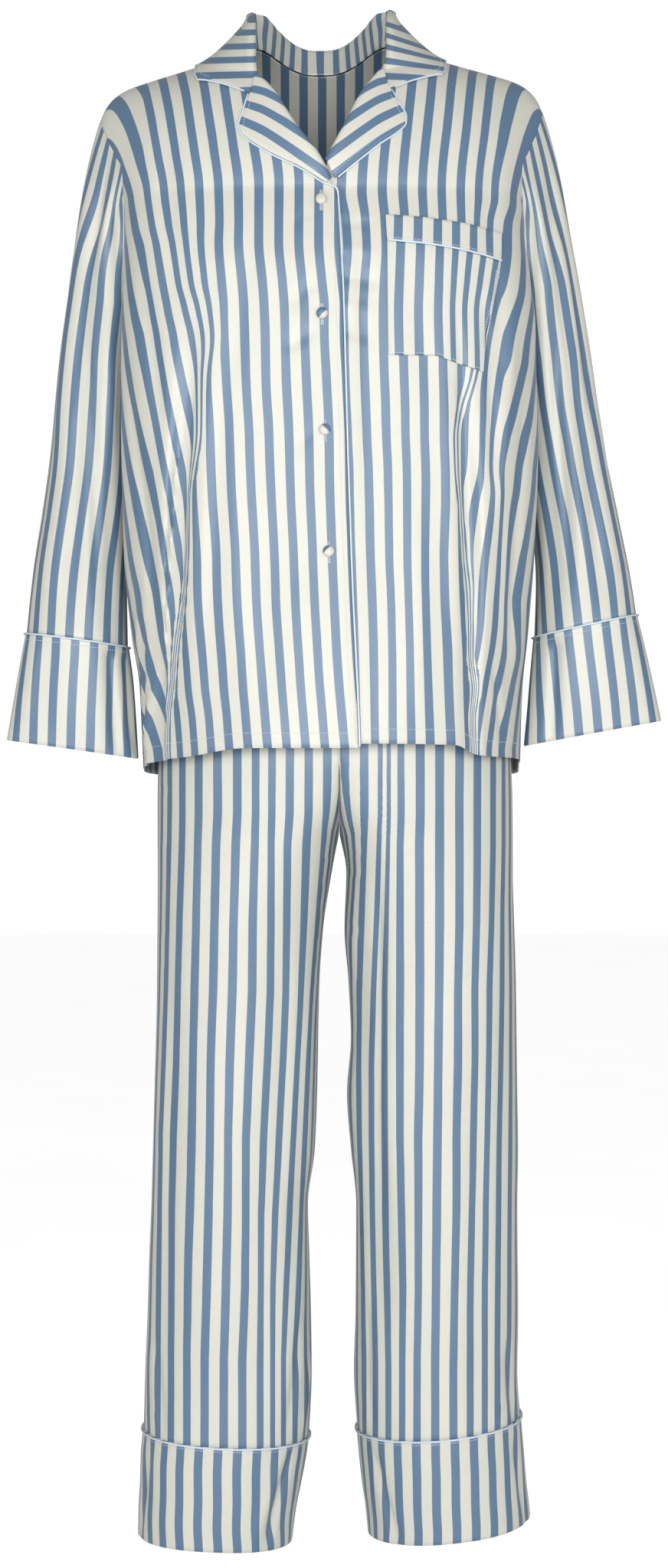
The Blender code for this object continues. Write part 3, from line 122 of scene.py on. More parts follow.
def hermite(t, start, end, leaving, arriving):
    """A cubic from start to end with the given slopes, read at t from 0 to 1."""
    return (
        (2 * t**3 - 3 * t**2 + 1) * start + (t**3 - 2 * t**2 + t) * leaving
        + (3 * t**2 - 2 * t**3) * end + (t**3 - t**2) * arriving
    )


def smooth(xs, ys):
    """Monotone cubic through the rows of a table, held flat beyond its ends."""
    xs, ys = np.asarray(xs, float), np.asarray(ys, float)
    if xs[0] > xs[-1]:
        xs, ys = xs[::-1], ys[::-1]
    h = np.diff(xs)
    d = np.diff(ys) / h
    m = np.zeros(len(xs))
    m[0], m[-1] = d[0], d[-1]
    for k in range(1, len(xs) - 1):
        if d[k - 1] * d[k] > 0:
            w1, w2 = 2 * h[k] + h[k - 1], h[k] + 2 * h[k - 1]
            m[k] = (w1 + w2) / (w1 / d[k - 1] + w2 / d[k])

    def at(x):
        x = np.clip(x, xs[0], xs[-1])
        k = np.clip(np.searchsorted(xs, x) - 1, 0, len(h) - 1)
        return hermite((x - xs[k]) / h[k], ys[k], ys[k + 1], h[k] * m[k], h[k] * m[k + 1])

    return at


def fine(numbers):
    """Tables count in ten-thousandths, of a metre or of a share. This turns them into plain numbers."""
    if isinstance(numbers, dict):
        return {key: fine(part) for key, part in numbers.items()}
    return tuple(map(fine, numbers)) if isinstance(numbers, tuple) else numbers / 10000


def curve(*rows):
    return smooth(*zip(*fine(rows)))


def table(names, rows):
    """A curve for each column after the first, by name. The first column is where the rows stand."""
    columns = list(zip(*fine(rows)))
    return {name: smooth(columns[0], column) for name, column in zip(names, columns)}


def tables(names, parts):
    return {key: table(names, rows) for key, rows in parts.items()}


def pair(a, b):
    return np.broadcast_arrays(np.asarray(a, float), np.asarray(b, float))


def step(t):
    t = np.clip(t, 0.0, 1.0)
    return t * t * (3 - 2 * t)


def unit(v):
    return v / (np.linalg.norm(v, axis=-1, keepdims=True) + 1e-15)


def lengths(points):
    """Distance along each row of a grid of points, from its first column."""
    gaps = np.linalg.norm(np.diff(points, axis=-2), axis=-1)
    return np.concatenate((np.zeros(gaps.shape[:-1] + (1,)), np.cumsum(gaps, axis=-1)), -1)


def strokes(rows, a, b):
    """Height of soft troughs and ridges over a surface. A row holds the start and end of a stroke, its bow,
    its depth (minus is a trough) and its half width."""
    a, b = pair(a, b)
    total = np.zeros(a.shape)
    for a0, b0, a1, b1, bow, deep, wide in rows:
        long = math.hypot(a1 - a0, b1 - b0)
        ta, tb = (a1 - a0) / long, (b1 - b0) / long
        along = ((a - a0) * ta + (b - b0) * tb) / long
        off = -(a - a0) * tb + (b - b0) * ta - bow * 4 * along * (1 - along)
        fade = step(along / 0.3) * step((1 - along) / 0.3)
        total = total + deep * fade * np.exp(-((off / wide) ** 2))
    return total


# ---------------------------------------------------------------- the body of the shirt

HANDS = (("right", -1), ("left", 1))
Z_YOKE = -0.130
Z_ARMPIT = -0.213
TURN = 0.120
RIDGE_V = Z_YOKE + TURN * math.pi / 2
SIDE_Y = 0.020
NECK_U = 0.066
NECK_DROP = 0.063
SHOULDER_TILT = 0.018
SHOULDER_REACH = 0.985
BACK_SQUARE = 2.6
CORE_X, CORE_Y = -0.006, 0.020
SEAM = 0.0003
UNDERLAP = 0.0028

BODY = table(("z", "right", "left", "front", "back", "square", "tuck"), (
    (-6900, 1830, 1780, 1410, 1430, 25000, 0), (-6400, 1840, 1800, 1390, 1420, 26000, 0),
    (-5900, 1850, 1830, 1360, 1390, 27000, 0), (-5400, 1920, 1900, 1320, 1350, 29000, 100),
    (-4650, 1980, 1990, 1260, 1270, 31000, 700), (-3500, 1970, 2060, 1210, 1180, 33000, 1500),
    (-2500, 1940, 2060, 1190, 1120, 34000, 2100), (-2000, 1920, 2010, 1180, 1100, 34000, 1900),
    (-1600, 1910, 1960, 1130, 1090, 34000, 1400), (-1300, 1910, 1940, 1060, 1080, 34000, 800),
))
CENTRE_X = curve((-6600, 0), (-4700, -50), (-3600, -85), (-2500, -110), (-1000, -120), (300, -120))
RIDGE_Z = curve(
    (0, 300), (500, 280), (660, 225), (1000, 115), (1350, 8), (1630, -70), (1860, -143), (1990, -222),
    (2070, -320), (2125, -440), (2200, -620),
)
# the largest folds, as in the solids: distance from the centre at the top and the hem, both heights, depth
# and half width
FOLDS = fine({
    (-1, -1): (
        (1180, 1680, -2200, -7200, -110, 85), (1400, 1870, -2000, -7200, 60, 100),
        (1650, 2080, -4000, -7200, -80, 75),
    ),
    (1, -1): (
        (1300, 1320, -2500, -7200, -80, 95), (1520, 1540, -2500, -7200, 40, 100),
    ),
    (-1, 1): ((900, 1100, -2500, -7200, -70, 110),),
    (1, 1): ((1000, 1200, -3000, -7200, -70, 110),),
})
LEVELS = np.linspace(-0.69, Z_YOKE, 225)
U_GRID = np.linspace(0.0, 0.33, 331)


def cells(place, marks):
    """A place among even marks, counted in cells and kept inside them."""
    return np.clip((place - marks[0]) / (marks[1] - marks[0]), 0, len(marks) - 1.001)


def read_grid(grid, a, b):
    """A grid read between its points, at column a and row b."""
    i, j = a.astype(int), b.astype(int)
    a, b = a - i, b - j
    low = grid[j, i] * (1 - a) + grid[j, i + 1] * a
    return low * (1 - b) + (grid[j + 1, i] * (1 - a) + grid[j + 1, i + 1] * a) * b


def half_section(side, face, z):
    """Half of the body's outline at a height: distance from the centre line, x and y."""
    size = {name: float(column(z)) for name, column in BODY.items()}
    turn = np.linspace(0, math.pi / 2, 420)
    x = size["left" if side > 0 else "right"] * np.sin(turn) ** (2 / size["square"])
    if face > 0:
        y = SIDE_Y + (size["back"] - SIDE_Y) * np.cos(turn) ** (2 / BACK_SQUARE)
    else:
        y = SIDE_Y - (size["front"] + SIDE_Y) * np.cos(turn) ** (2 / size["square"])
    x = x * (1 - size["tuck"] * step((y + 0.045) / 0.075))
    along = lengths(np.stack((x, y), -1))
    push = np.zeros_like(along)
    for top, bottom, z0, z1, deep, wide in FOLDS[(side, face)]:
        part = np.clip((z - z0) / (z1 - z0), 0, 1)
        grow = step(part / 0.45) if z < z0 else 0.0
        middle = top + (bottom - top) * part
        push = push + deep * grow * np.exp(-(((along - middle) / wide) ** 2))
    tx, ty = np.gradient(x), np.gradient(y)
    long = np.hypot(tx, ty) + 1e-12
    x, y = x + face * -ty / long * push * -1, y + face * tx / long * push
    return lengths(np.stack((x, y), -1)), x, y


def half_map(side, face):
    """x and y of half the body at each of LEVELS and each distance of U_GRID, and where the half ends."""
    xs, ys, ends = [], [], []
    for z in LEVELS:
        along, x, y = half_section(side, face, z)
        xs.append(np.interp(U_GRID, along, x))
        ys.append(np.interp(U_GRID, along, y))
        ends.append(along[-1])
    return np.array(xs), np.array(ys), np.array(ends)


MAPS = {(side, face): half_map(side, face) for side in (-1, 1) for face in (-1, 1)}


def seam_u(side, face, v):
    return np.interp(np.minimum(v, Z_YOKE), LEVELS, MAPS[(side, face)][2])


def bare_body(side, u, v):
    """The body's outer surface: u across from the centre line, v up the front and over the shoulder."""
    u, v = pair(u, v)
    over = v > RIDGE_V
    v = np.where(over, 2 * RIDGE_V - v, v)
    out = np.zeros(u.shape + (3,))
    for hand in (-1, 1):
        for face in (-1, 1):
            pick = (np.where(u < 0, -side, side) == hand) & (over == (face > 0))
            if not pick.any():
                continue
            w, t = np.abs(u[pick]), v[pick]
            xs, ys, _ = MAPS[(hand, face)]
            place = cells(w, U_GRID), cells(np.minimum(t, Z_YOKE), LEVELS)
            x, y = read_grid(xs, *place), read_grid(ys, *place)
            turn = np.clip((t - Z_YOKE) / TURN, 0, math.pi / 2)
            lift = np.sin(turn)
            x = x + (w * SHOULDER_REACH - x) * lift
            top = RIDGE_Z(w * SHOULDER_REACH) + hand * SHOULDER_TILT * w
            z = np.where(t > Z_YOKE, Z_YOKE + (top - Z_YOKE) * lift, t)
            out[pick] = np.stack((CENTRE_X(z) + hand * x, y * np.cos(turn), z), -1)
    return out


def back_body(side, u, v):
    """The body's surface with v up the back instead."""
    return bare_body(side, u, 2 * RIDGE_V - np.asarray(v, float))


def body_core(points, below=0.05):
    """Points inside the body, by which a side of its cloth is told from the other."""
    core = points.copy()
    core[..., 0], core[..., 1], core[..., 2] = CORE_X, CORE_Y, points[..., 2] - below
    return core


def outward(surface, u, v):
    d = 0.0016
    along = surface(u + d, v) - surface(u - d, v)
    up = surface(u, v + d) - surface(u, v - d)
    n = unit(np.cross(along, up))
    p = surface(u, v)
    sign = np.sign(np.sum(n * (p - body_core(p, 0.06)), axis=-1, keepdims=True))
    return n * np.where(sign == 0, 1, sign)


# creases: start u and v, end u and v, bow, depth and half width
CREASES = fine({
    (-1, -1): (
        (1120, -2350, 1500, -6000, 40, -30, 45), (950, -2400, 1280, -6100, 40, 22, 80),
        (600, -1500, 850, -3300, 20, -14, 110), (1500, -600, 1320, -2500, 30, -22, 110),
        (1050, -500, 1000, -2000, -20, -14, 120), (1850, -1700, 1500, -4200, -60, -18, 90),
        (2100, -2600, 1760, -5600, -40, -30, 75), (1900, -5200, 2360, -6650, 0, -34, 40),
        (2050, -5000, 2460, -6680, 0, 26, 40), (1760, -5600, 2260, -6680, 0, 24, 38),
        (2220, -5400, 2540, -6680, 0, -30, 40), (40, -2160, 300, -2460, 20, -12, 45),
        (40, -2620, 360, -2850, 20, -13, 55), (60, -1500, 300, -1720, 20, -10, 45),
        (40, -3520, 300, -3800, 20, -8, 55), (550, -4200, 620, -6400, 20, -12, 120),
        (800, -3000, 880, -5600, 10, 12, 120), (250, -4800, 300, -6450, 10, 10, 110),
    ),
    (1, -1): (
        (1250, -2300, 1310, -5600, 30, -26, 45), (1120, -2600, 1180, -6000, 20, 16, 80),
        (100, -1630, 520, -1680, 10, -14, 50), (80, -1860, 500, -1920, 10, 12, 60),
        (80, -2120, 560, -2220, 10, -16, 65), (80, -2400, 500, -2500, 10, 12, 65),
        (80, -2620, 480, -2720, 10, -14, 60), (700, -1500, 1050, -3450, -20, -10, 120),
        (1480, -2150, 1580, -4200, 60, -30, 65), (1750, -1900, 1720, -3300, -60, -26, 70),
        (1920, -2150, 1650, -4700, -40, 26, 85), (2050, -2900, 1820, -6200, -20, -30, 80),
        (1200, -500, 1120, -2000, 20, -14, 120), (1650, -800, 1500, -2000, 20, -16, 110),
        (450, -3600, 520, -6400, 10, -10, 120), (780, -4000, 820, -6450, 10, 12, 110),
        (1600, -5600, 1820, -6600, 0, -22, 45),
    ),
    (-1, 1): (
        (300, -1500, 500, -6000, 40, -18, 120), (700, -2000, 800, -6500, 30, 22, 110),
        (1300, -1800, 1500, -5600, 40, -30, 90), (1500, -2600, 1750, -6600, 30, 24, 90),
        (1750, -1200, 1200, -3000, -60, -24, 90), (200, -5000, 240, -6750, 10, -16, 100),
    ),
    (1, 1): (
        (260, -1800, 400, -5800, -30, -20, 120), (750, -2400, 900, -6600, -30, 22, 110),
        (1450, -1600, 1600, -6000, -40, -30, 90), (1700, -3000, 1850, -6600, -20, 24, 90),
        (1800, -1100, 1300, -2800, 60, -24, 90), (500, -4800, 580, -6750, 10, 14, 100),
    ),
})


def relief(side, u, v):
    """Height of the creases over the body, on the front or, past the shoulder, on the back."""
    u, v = pair(u, v)
    front = strokes(CREASES[(side, -1)], u, v)
    back = strokes(CREASES[(side, 1)], np.abs(u), 2 * RIDGE_V - v)
    return np.where(v > RIDGE_V, back, front)


def on_body(side, u, v, height):
    """A point held at a height over the creased body."""
    u, v = pair(u, v)
    surface = partial(bare_body, side)
    return surface(u, v) + outward(surface, u, v) * (np.asarray(height) + relief(side, u, v))[..., None]


# ---------------------------------------------------------------- shader and geometry nodes

class Value:
    """A node's output, with the arithmetic of its Math nodes."""

    def __init__(self, tree, socket):
        self.tree, self.socket = tree, socket

    def math(self, operation, *others, first=None):
        values = [self, *others] if first is None else [first, self]
        return self.tree.node("ShaderNodeMath", {"operation": operation}, dict(enumerate(values)))[0]

    def __add__(self, other):
        return self.math("ADD", other)

    __radd__ = __add__

    def __mul__(self, other):
        return self.math("MULTIPLY", other)

    def __sub__(self, other):
        return self.math("SUBTRACT", other)

    def __rsub__(self, other):
        return self.math("SUBTRACT", first=other)

    def __truediv__(self, other):
        return self.math("DIVIDE", other)


class Made:
    """A node that has been made. Its outputs are read by name or number."""

    def __init__(self, tree, made):
        self.tree, self.made = tree, made

    def __getitem__(self, key):
        return Value(self.tree, self.made.outputs[key])


class Nodes:
    """Makes the nodes of a material or a geometry tree."""

    def __init__(self, tree):
        self.tree = tree

    def node(self, kind, settings=None, values=None):
        made = self.tree.nodes.new(kind)
        for key, value in (settings or {}).items():
            setattr(made, key, value)
        for key, value in (values or {}).items():
            if isinstance(value, Value):
                self.tree.links.new(value.socket, made.inputs[key])
            else:
                made.inputs[key].default_value = value
        return Made(self, made)


def add_object(name, data):
    item = bpy.data.objects.new(name, data)
    bpy.context.scene.collection.objects.link(item)
    return item


def blank_material(name):
    material = bpy.data.materials.new(name)
    material.use_nodes = True
    material.node_tree.nodes.clear()
    return material, Nodes(material.node_tree)


def bump(nodes, strength, distance, height):
    values = {"Strength": strength, "Distance": distance, "Height": height}
    return nodes.node("ShaderNodeBump", {}, values)["Normal"]


def object_grain(nodes, scale, detail):
    """Fine noise in the piece's own space."""
    place = nodes.node("ShaderNodeTexCoord")["Object"]
    return nodes.node("ShaderNodeTexNoise", {}, {"Vector": place, "Scale": scale, "Detail": detail})[0]


def finish_material(nodes, values):
    shader = nodes.node("ShaderNodeBsdfPrincipled", {}, values)
    out = nodes.node("ShaderNodeOutputMaterial")
    nodes.tree.links.new(shader.made.outputs[0], out.made.inputs["Surface"])


def mix_colour(nodes, factor, a, b, kind="MIX"):
    settings = {"data_type": "RGBA", "blend_type": kind, "clamp_factor": True}
    return nodes.node("ShaderNodeMix", settings, {0: factor, 6: a, 7: b})[2]


def made_once(maker):
    """A material's maker that makes it at its first call and gives the same one after that."""
    name = maker.__name__.replace("_", " ")

    def given():
        return bpy.data.materials.get(name) or maker(name)

    return given


@made_once
def striped_satin(name):
    """Warp-striped satin. The cloth map runs in metres: U across the stripes, V along them."""
    cloth = bpy.context.scene.pyjama_cloth
    material, nodes = blank_material(name)
    place = nodes.node("ShaderNodeUVMap", {"uv_map": "cloth"})["UV"]
    axes = nodes.node("ShaderNodeSeparateXYZ", {}, {0: place})
    across, along = axes["X"], axes["Y"]

    def flecks(scale_u, scale_v, detail=2.0, rough=0.6):
        spot = nodes.node("ShaderNodeCombineXYZ", {}, {0: across * scale_u, 1: along * scale_v})
        return nodes.node(
            "ShaderNodeTexNoise", {"noise_dimensions": "2D"},
            {"Vector": spot[0], "Scale": 1.0, "Detail": detail, "Roughness": rough},
        )[0]

    drift = flecks(18.0, 9.0)
    slub = flecks(55.0, 1500.0)
    warp = flecks(1900.0, 60.0)
    cell = ((across + (drift - 0.5) * 0.0012) / cloth.pitch).math("FRACT")
    share, edge = cloth.blue_width / cloth.pitch, 0.0004 / cloth.pitch
    rise = nodes.node("ShaderNodeMapRange", {"clamp": True}, {0: cell, 1: 0.0, 2: edge})[0]
    fall = nodes.node("ShaderNodeMapRange", {"clamp": True}, {0: cell, 1: share, 2: share - edge})[0]
    mask = rise * fall
    border = (mask * (1 - mask)) * 4
    colour = mix_colour(nodes, mask, (*cloth.cream, 1), (*cloth.blue, 1))
    shade = 1 + (slub - 0.5) * 0.10 + (warp - 0.5) * 0.07 + (drift - 0.5) * 0.05 - border * 0.10
    grey = nodes.node("ShaderNodeCombineXYZ", {}, {0: shade, 1: shade, 2: shade})[0]
    colour = mix_colour(nodes, 1.0, colour, grey, "MULTIPLY")
    twill = nodes.node(
        "ShaderNodeMath", {"operation": "SINE"}, {0: (across * 0.5 + along) * (2 * math.pi / 0.0007)}
    )[0]
    height = slub * 0.5 + warp * 0.35 + twill * 0.06 + mask * 0.10
    roughness = (slub - 0.5) * 0.12 + mask * -0.03 + cloth.gloss
    finish_material(nodes, {
        "Base Color": colour, "Roughness": roughness, "Normal": bump(nodes, 0.22, 0.00022, height),
        "IOR": 1.5, "Specular IOR Level": 0.62, "Sheen Weight": 0.04, "Sheen Roughness": 0.35,
    })
    return material


@made_once
def piping_satin(name):
    trim = bpy.context.scene.pyjama_trim
    material, nodes = blank_material(name)
    grain = object_grain(nodes, 900.0, 2.0)
    dark, light = ((*[min(c * share, 1) for c in trim.piping_colour], 1) for share in (0.86, 1.14))
    colour = mix_colour(nodes, grain, dark, light)
    finish_material(nodes, {
        "Base Color": colour, "Roughness": grain * 0.12 + 0.24, "Normal": bump(nodes, 0.2, 0.0002, grain),
        "Specular IOR Level": 0.7,
    })
    return material


@made_once
def sewing_thread(name):
    trim = bpy.context.scene.pyjama_trim
    material, nodes = blank_material(name)
    grain = object_grain(nodes, 3000.0, 1.0)
    colour = mix_colour(nodes, grain, (*[c * 0.8 for c in trim.thread_colour], 1), (*trim.thread_colour, 1))
    finish_material(nodes, {"Base Color": colour, "Roughness": grain * 0.2 + 0.4})
    return material


def geometry_tree(name, sizes):
    """An empty tree that takes a mesh, some sizes and a material."""
    tree = bpy.data.node_groups.new(name, "GeometryNodeTree")
    face = tree.interface
    face.new_socket("Geometry", in_out="INPUT", socket_type="NodeSocketGeometry")
    keys = {}
    for label in (*sizes, "Material"):
        kind = "NodeSocketMaterial" if label == "Material" else "NodeSocketFloat"
        keys[label] = face.new_socket(label, in_out="INPUT", socket_type=kind).identifier
    face.new_socket("Geometry", in_out="OUTPUT", socket_type="NodeSocketGeometry")
    nodes = Nodes(tree)
    return tree, nodes, nodes.node("NodeGroupInput"), keys


def close_tree(nodes, geometry, material):
    real = nodes.node("GeometryNodeRealizeInstances", {}, {0: geometry})[0]
    flat = nodes.node("GeometryNodeSetShadeSmooth", {}, {0: real})[0]
    done = nodes.node("GeometryNodeSetMaterial", {}, {"Geometry": flat, "Material": material})[0]
    nodes.node("NodeGroupOutput", {}, {0: done})


def cord_tree():
    """A round cord along each line of the mesh."""
    tree, nodes, given, keys = geometry_tree("cord along a path", ("Radius",))
    line = nodes.node("GeometryNodeMeshToCurve", {}, {0: given["Geometry"]})[0]
    round_end = {"Resolution": 10, "Radius": given["Radius"]}
    circle = nodes.node("GeometryNodeCurvePrimitiveCircle", {}, round_end)[0]
    sweep = {"Curve": line, "Profile Curve": circle, "Fill Caps": True}
    swept = nodes.node("GeometryNodeCurveToMesh", {}, sweep)[0]
    close_tree(nodes, swept, given["Material"])
    return tree, keys


def stitch_tree():
    """A row of small rounded stitches along each line of the mesh."""
    tree, nodes, given, keys = geometry_tree("row of stitches", ("Spacing", "Length", "Radius"))
    line = nodes.node("GeometryNodeMeshToCurve", {}, {0: given["Geometry"]})[0]
    gaps = {"Curve": line, "Length": given["Spacing"]}
    marks = nodes.node("GeometryNodeCurveToPoints", {"mode": "LENGTH"}, gaps)
    ball = nodes.node("GeometryNodeMeshUVSphere", {}, {"Segments": 6, "Rings": 4, "Radius": 1.0})[0]
    size = nodes.node(
        "ShaderNodeCombineXYZ", {}, {0: given["Radius"], 1: given["Radius"], 2: given["Length"] * 0.5}
    )[0]
    rows = nodes.node(
        "GeometryNodeInstanceOnPoints", {},
        {"Points": marks["Points"], "Instance": ball, "Rotation": marks["Rotation"], "Scale": size},
    )[0]
    close_tree(nodes, rows, given["Material"])
    return tree, keys


def along_paths(name, paths, closed, maker, **values):
    """Runs a geometry tree over paths and keeps the result as a plain mesh."""
    verts, edges = [], []
    for path, ring in zip(paths, closed):
        start, count = len(verts), len(path)
        verts.extend(tuple(map(float, p)) for p in path)
        edges.extend((start + k, start + (k + 1) % count) for k in range(count if ring else count - 1))
    mesh = bpy.data.meshes.new(name + " path")
    mesh.from_pydata(verts, edges, [])
    item = add_object(name + "_path", mesh)
    tree, keys = maker()
    modifier = item.modifiers.new("nodes", "NODES")
    modifier.node_group = tree
    for label, value in values.items():
        modifier[keys[label.capitalize()]] = value
    bpy.context.view_layer.update()
    graph = bpy.context.evaluated_depsgraph_get()
    plain = bpy.data.meshes.new_from_object(item.evaluated_get(graph))
    if not plain.polygons:
        raise RuntimeError(f"{name}: the node tree made nothing")
    bpy.data.objects.remove(item, do_unlink=True)
    bpy.data.meshes.remove(mesh)
    bpy.data.node_groups.remove(tree)
    return add_object(name, plain)


# ---------------------------------------------------------------- thin cloth

def grid_normals(points, closed):
    if closed:
        along = np.roll(points, -1, axis=1) - np.roll(points, 1, axis=1)
    else:
        along = np.gradient(points, axis=1)
    return unit(np.cross(along, np.gradient(points, axis=0)))


def facing(points, closed, core=None):
    """The outer side of a grid of points: away from its core, or from the middle of each ring."""
    n = grid_normals(points, closed)
    if core is None:
        core = points.mean(axis=1, keepdims=True) if closed else body_core(points)
    return -n if np.sum(n * (points - core)) < 0 else n


def shell(name, outer, thick, across, along, closed=False, core=None):
    """A thin cloth under a grid of points, with rounded edges. across and along are its cloth map in metres.
    A closed grid's map has one column more than its points."""
    rows, cols = outer.shape[:2]
    n = facing(outer, closed, core)
    inner = outer - n * thick
    base = np.arange(rows * cols).reshape(rows, cols)
    if closed:
        base = np.concatenate((base, base[:, :1]), 1)
    spots = np.stack(np.broadcast_arrays(across, along), -1)
    count = rows * cols
    quads, quad_map = (
        np.stack((grid[:-1, :-1], grid[:-1, 1:], grid[1:, 1:], grid[1:, :-1]), 2) for grid in (base, spots)
    )
    quads, quad_map = quads.reshape(-1, 4), quad_map.reshape(-1, 4, 2)
    faces = [quads, quads[:, ::-1] + count]
    maps = [quad_map, quad_map[:, ::-1]]
    points = [outer.reshape(-1, 3), inner.reshape(-1, 3)]
    if closed:
        loops = [[(i, j) for j in range(cols + 1)] for i in (0, rows - 1)]
    else:
        rim = [(0, j) for j in range(cols)] + [(i, cols - 1) for i in range(1, rows)]
        rim += [(rows - 1, j) for j in range(cols - 2, -1, -1)] + [(i, 0) for i in range(rows - 2, -1, -1)]
        loops = [rim]
    total = 2 * count
    for rim in loops:
        i, j = np.array(rim).T
        ids = base[i, j]
        uv = spots[i, j]
        edge = ids[:-1]
        p, q = points[0][edge], points[1][edge]
        column = j[:-1] % cols if closed else np.clip(j[:-1], 1, cols - 2)
        inside = outer[np.clip(i[:-1], 1, rows - 2), column]
        out = unit(np.cross(np.roll(p, -1, axis=0) - np.roll(p, 1, axis=0), unit(p - q)))
        out *= np.sign(np.sum(out * (p - inside), axis=1, keepdims=True))
        points.append((p + q) / 2 + out * thick * 0.42)
        mid = total + np.arange(len(edge))
        total += len(edge)
        nxt = np.roll(np.arange(len(edge)), -1)
        a, b, c, d = ids[:-1], ids[:-1][nxt], mid[nxt], mid
        ring_map = np.stack((uv[:-1], uv[1:], uv[1:], uv[:-1]), 1)
        faces += [np.stack((a, b, c, d), 1), np.stack((d, c, b + count, a + count), 1)]
        maps += [ring_map, ring_map]
    points = np.concatenate(points)
    faces, maps = np.concatenate(faces), np.concatenate(maps)
    mesh = bpy.data.meshes.new(name)
    mesh.from_pydata(points.tolist(), [], faces.tolist())
    layer = mesh.uv_layers.new(name="cloth")
    layer.data.foreach_set("uv", maps.reshape(-1, 2).astype(np.float32).ravel())
    work = bmesh.new()
    work.from_mesh(mesh)
    bmesh.ops.recalc_face_normals(work, faces=work.faces)
    work.to_mesh(mesh)
    work.free()
    mesh.shade_smooth()
    mesh.set_sharp_from_angle(angle=math.radians(50))
    mesh.materials.append(striped_satin())
    return add_object(name, mesh)


def place(piece, node, slot="striped_satin"):
    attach(piece, "root")
    if node:
        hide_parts(node)


def bend_rows(points, count):
    """Each row of a grid of points, rounded by a cubic and read at even steps. Further columns go along."""
    marks = np.linspace(0, 1, count)
    out = np.empty((points.shape[0], count, points.shape[2]))
    for k, row in enumerate(points):
        t = lengths(row[:, :3])
        t = t / t[-1]
        slope = np.gradient(row, t, axis=0)
        i = np.clip(np.searchsorted(t, marks, side="right") - 1, 0, len(t) - 2)
        h = (t[i + 1] - t[i])[:, None]
        s = ((marks - t[i]) / h[:, 0])[:, None]
        out[k] = hermite(s, row[i], row[i + 1], h * slope[i], h * slope[i + 1])
    return out


# ---------------------------------------------------------------- shirt panels

EDGE_RIGHT = curve(
    (-7000, -222), (-6310, -218), (-4750, -190), (-2780, -188), (-1550, -150), (-1430, -142), (-1347, -136),
    (-1289, -112), (-1258, -81), (-1156, -23), (-1052, 70), (-942, 171), (-798, 307), (-605, 427),
    (-493, 514), (-334, 634), (-100, 655), (585, 660),
)
EDGE_LEFT = curve(
    (-7000, -180), (-1500, -180), (-1400, -165), (-1258, -60), (-1156, 23), (-1091, 82), (-972, 166),
    (-757, 301), (-597, 387), (-489, 473), (-299, 604), (-100, 650), (585, 660),
)
ARMHOLE = tables(("v", "back_off", "u"), {
    "front": (
        (-2130, 0, 3000), (-2060, 220, 2750), (-1950, 400, 2570), (-1750, 560, 2400), (-1500, 620, 2265),
        (-1300, 600, 2175), (-1120, 600, 2080), (-960, 600, 2045), (-746, 600, 2100), (-290, 600, 2146),
        (585, 600, 2158),
    ),
    "back": (
        (-2130, 0, 2120), (-2050, 120, 2060), (-1900, 200, 2000), (-1600, 260, 1950), (-1300, 280, 1940),
        (-1000, 280, 1970), (-600, 280, 2040), (0, 280, 2120), (585, 280, 2158),
    ),
})
HEM_RIGHT = curve((-300, -6495), (800, -6495), (1400, -6570), (1800, -6600), (2200, -6640), (2900, -6690))
HEM_LEFT = curve((-300, -6450), (1150, -6465), (1450, -6560), (2200, -6585), (2900, -6630))
HEM_BACK = curve((0, -6780), (1200, -6770), (2000, -6730), (2900, -6690))
HEM_BASE, HEM_REACH = -0.655, 0.09
EDGE, HEM = {-1: EDGE_RIGHT, 1: EDGE_LEFT}, {-1: HEM_RIGHT, 1: HEM_LEFT}
# lengths by which the rows and columns of the shirt's panels are counted, and a first guess across
FRONT_WIDE, BACK_HALF, TURN_LONG, ROW_STEP, FIRST_U = 0.30, 0.24, 0.19, 1.3, 0.1
# the left front goes under the right one from this far out, softly over this width
UNDER_START, UNDER_SOFT = 0.006, 0.016
TURN_ROWS = (0.0, 0.15, 0.31, 0.46, 0.60, 0.74, 0.88, 1.0)
NECK_ROWS = {
    -1: smooth(TURN_ROWS, (-0.130, -0.1060, -0.0800, -0.0560, -0.0334, -0.0100, 0.0250, RIDGE_V)),
    1: smooth(TURN_ROWS, (-0.130, -0.1060, -0.0757, -0.0500, -0.0299, -0.0080, 0.0250, RIDGE_V)),
}


def armhole_u(side, face, v):
    """Where a panel ends: at the side seam, and above the armpit at the armhole."""
    rows = ARMHOLE["back" if face > 0 else "front"]
    v = np.asarray(v, float)
    counted = seam_u(side, face, v) - rows["back_off"](v)
    mix = step((v - Z_ARMPIT) / 0.06)
    return np.where(v <= Z_ARMPIT, seam_u(side, face, v), counted * (1 - mix) + rows["u"](v) * mix)


def low_row(hem, rise, u):
    """Height of a row of points. Near the hem the rows take its shape."""
    return HEM_BASE + rise + (hem(np.abs(u)) - HEM_BASE) * (1 - step(rise / HEM_REACH))


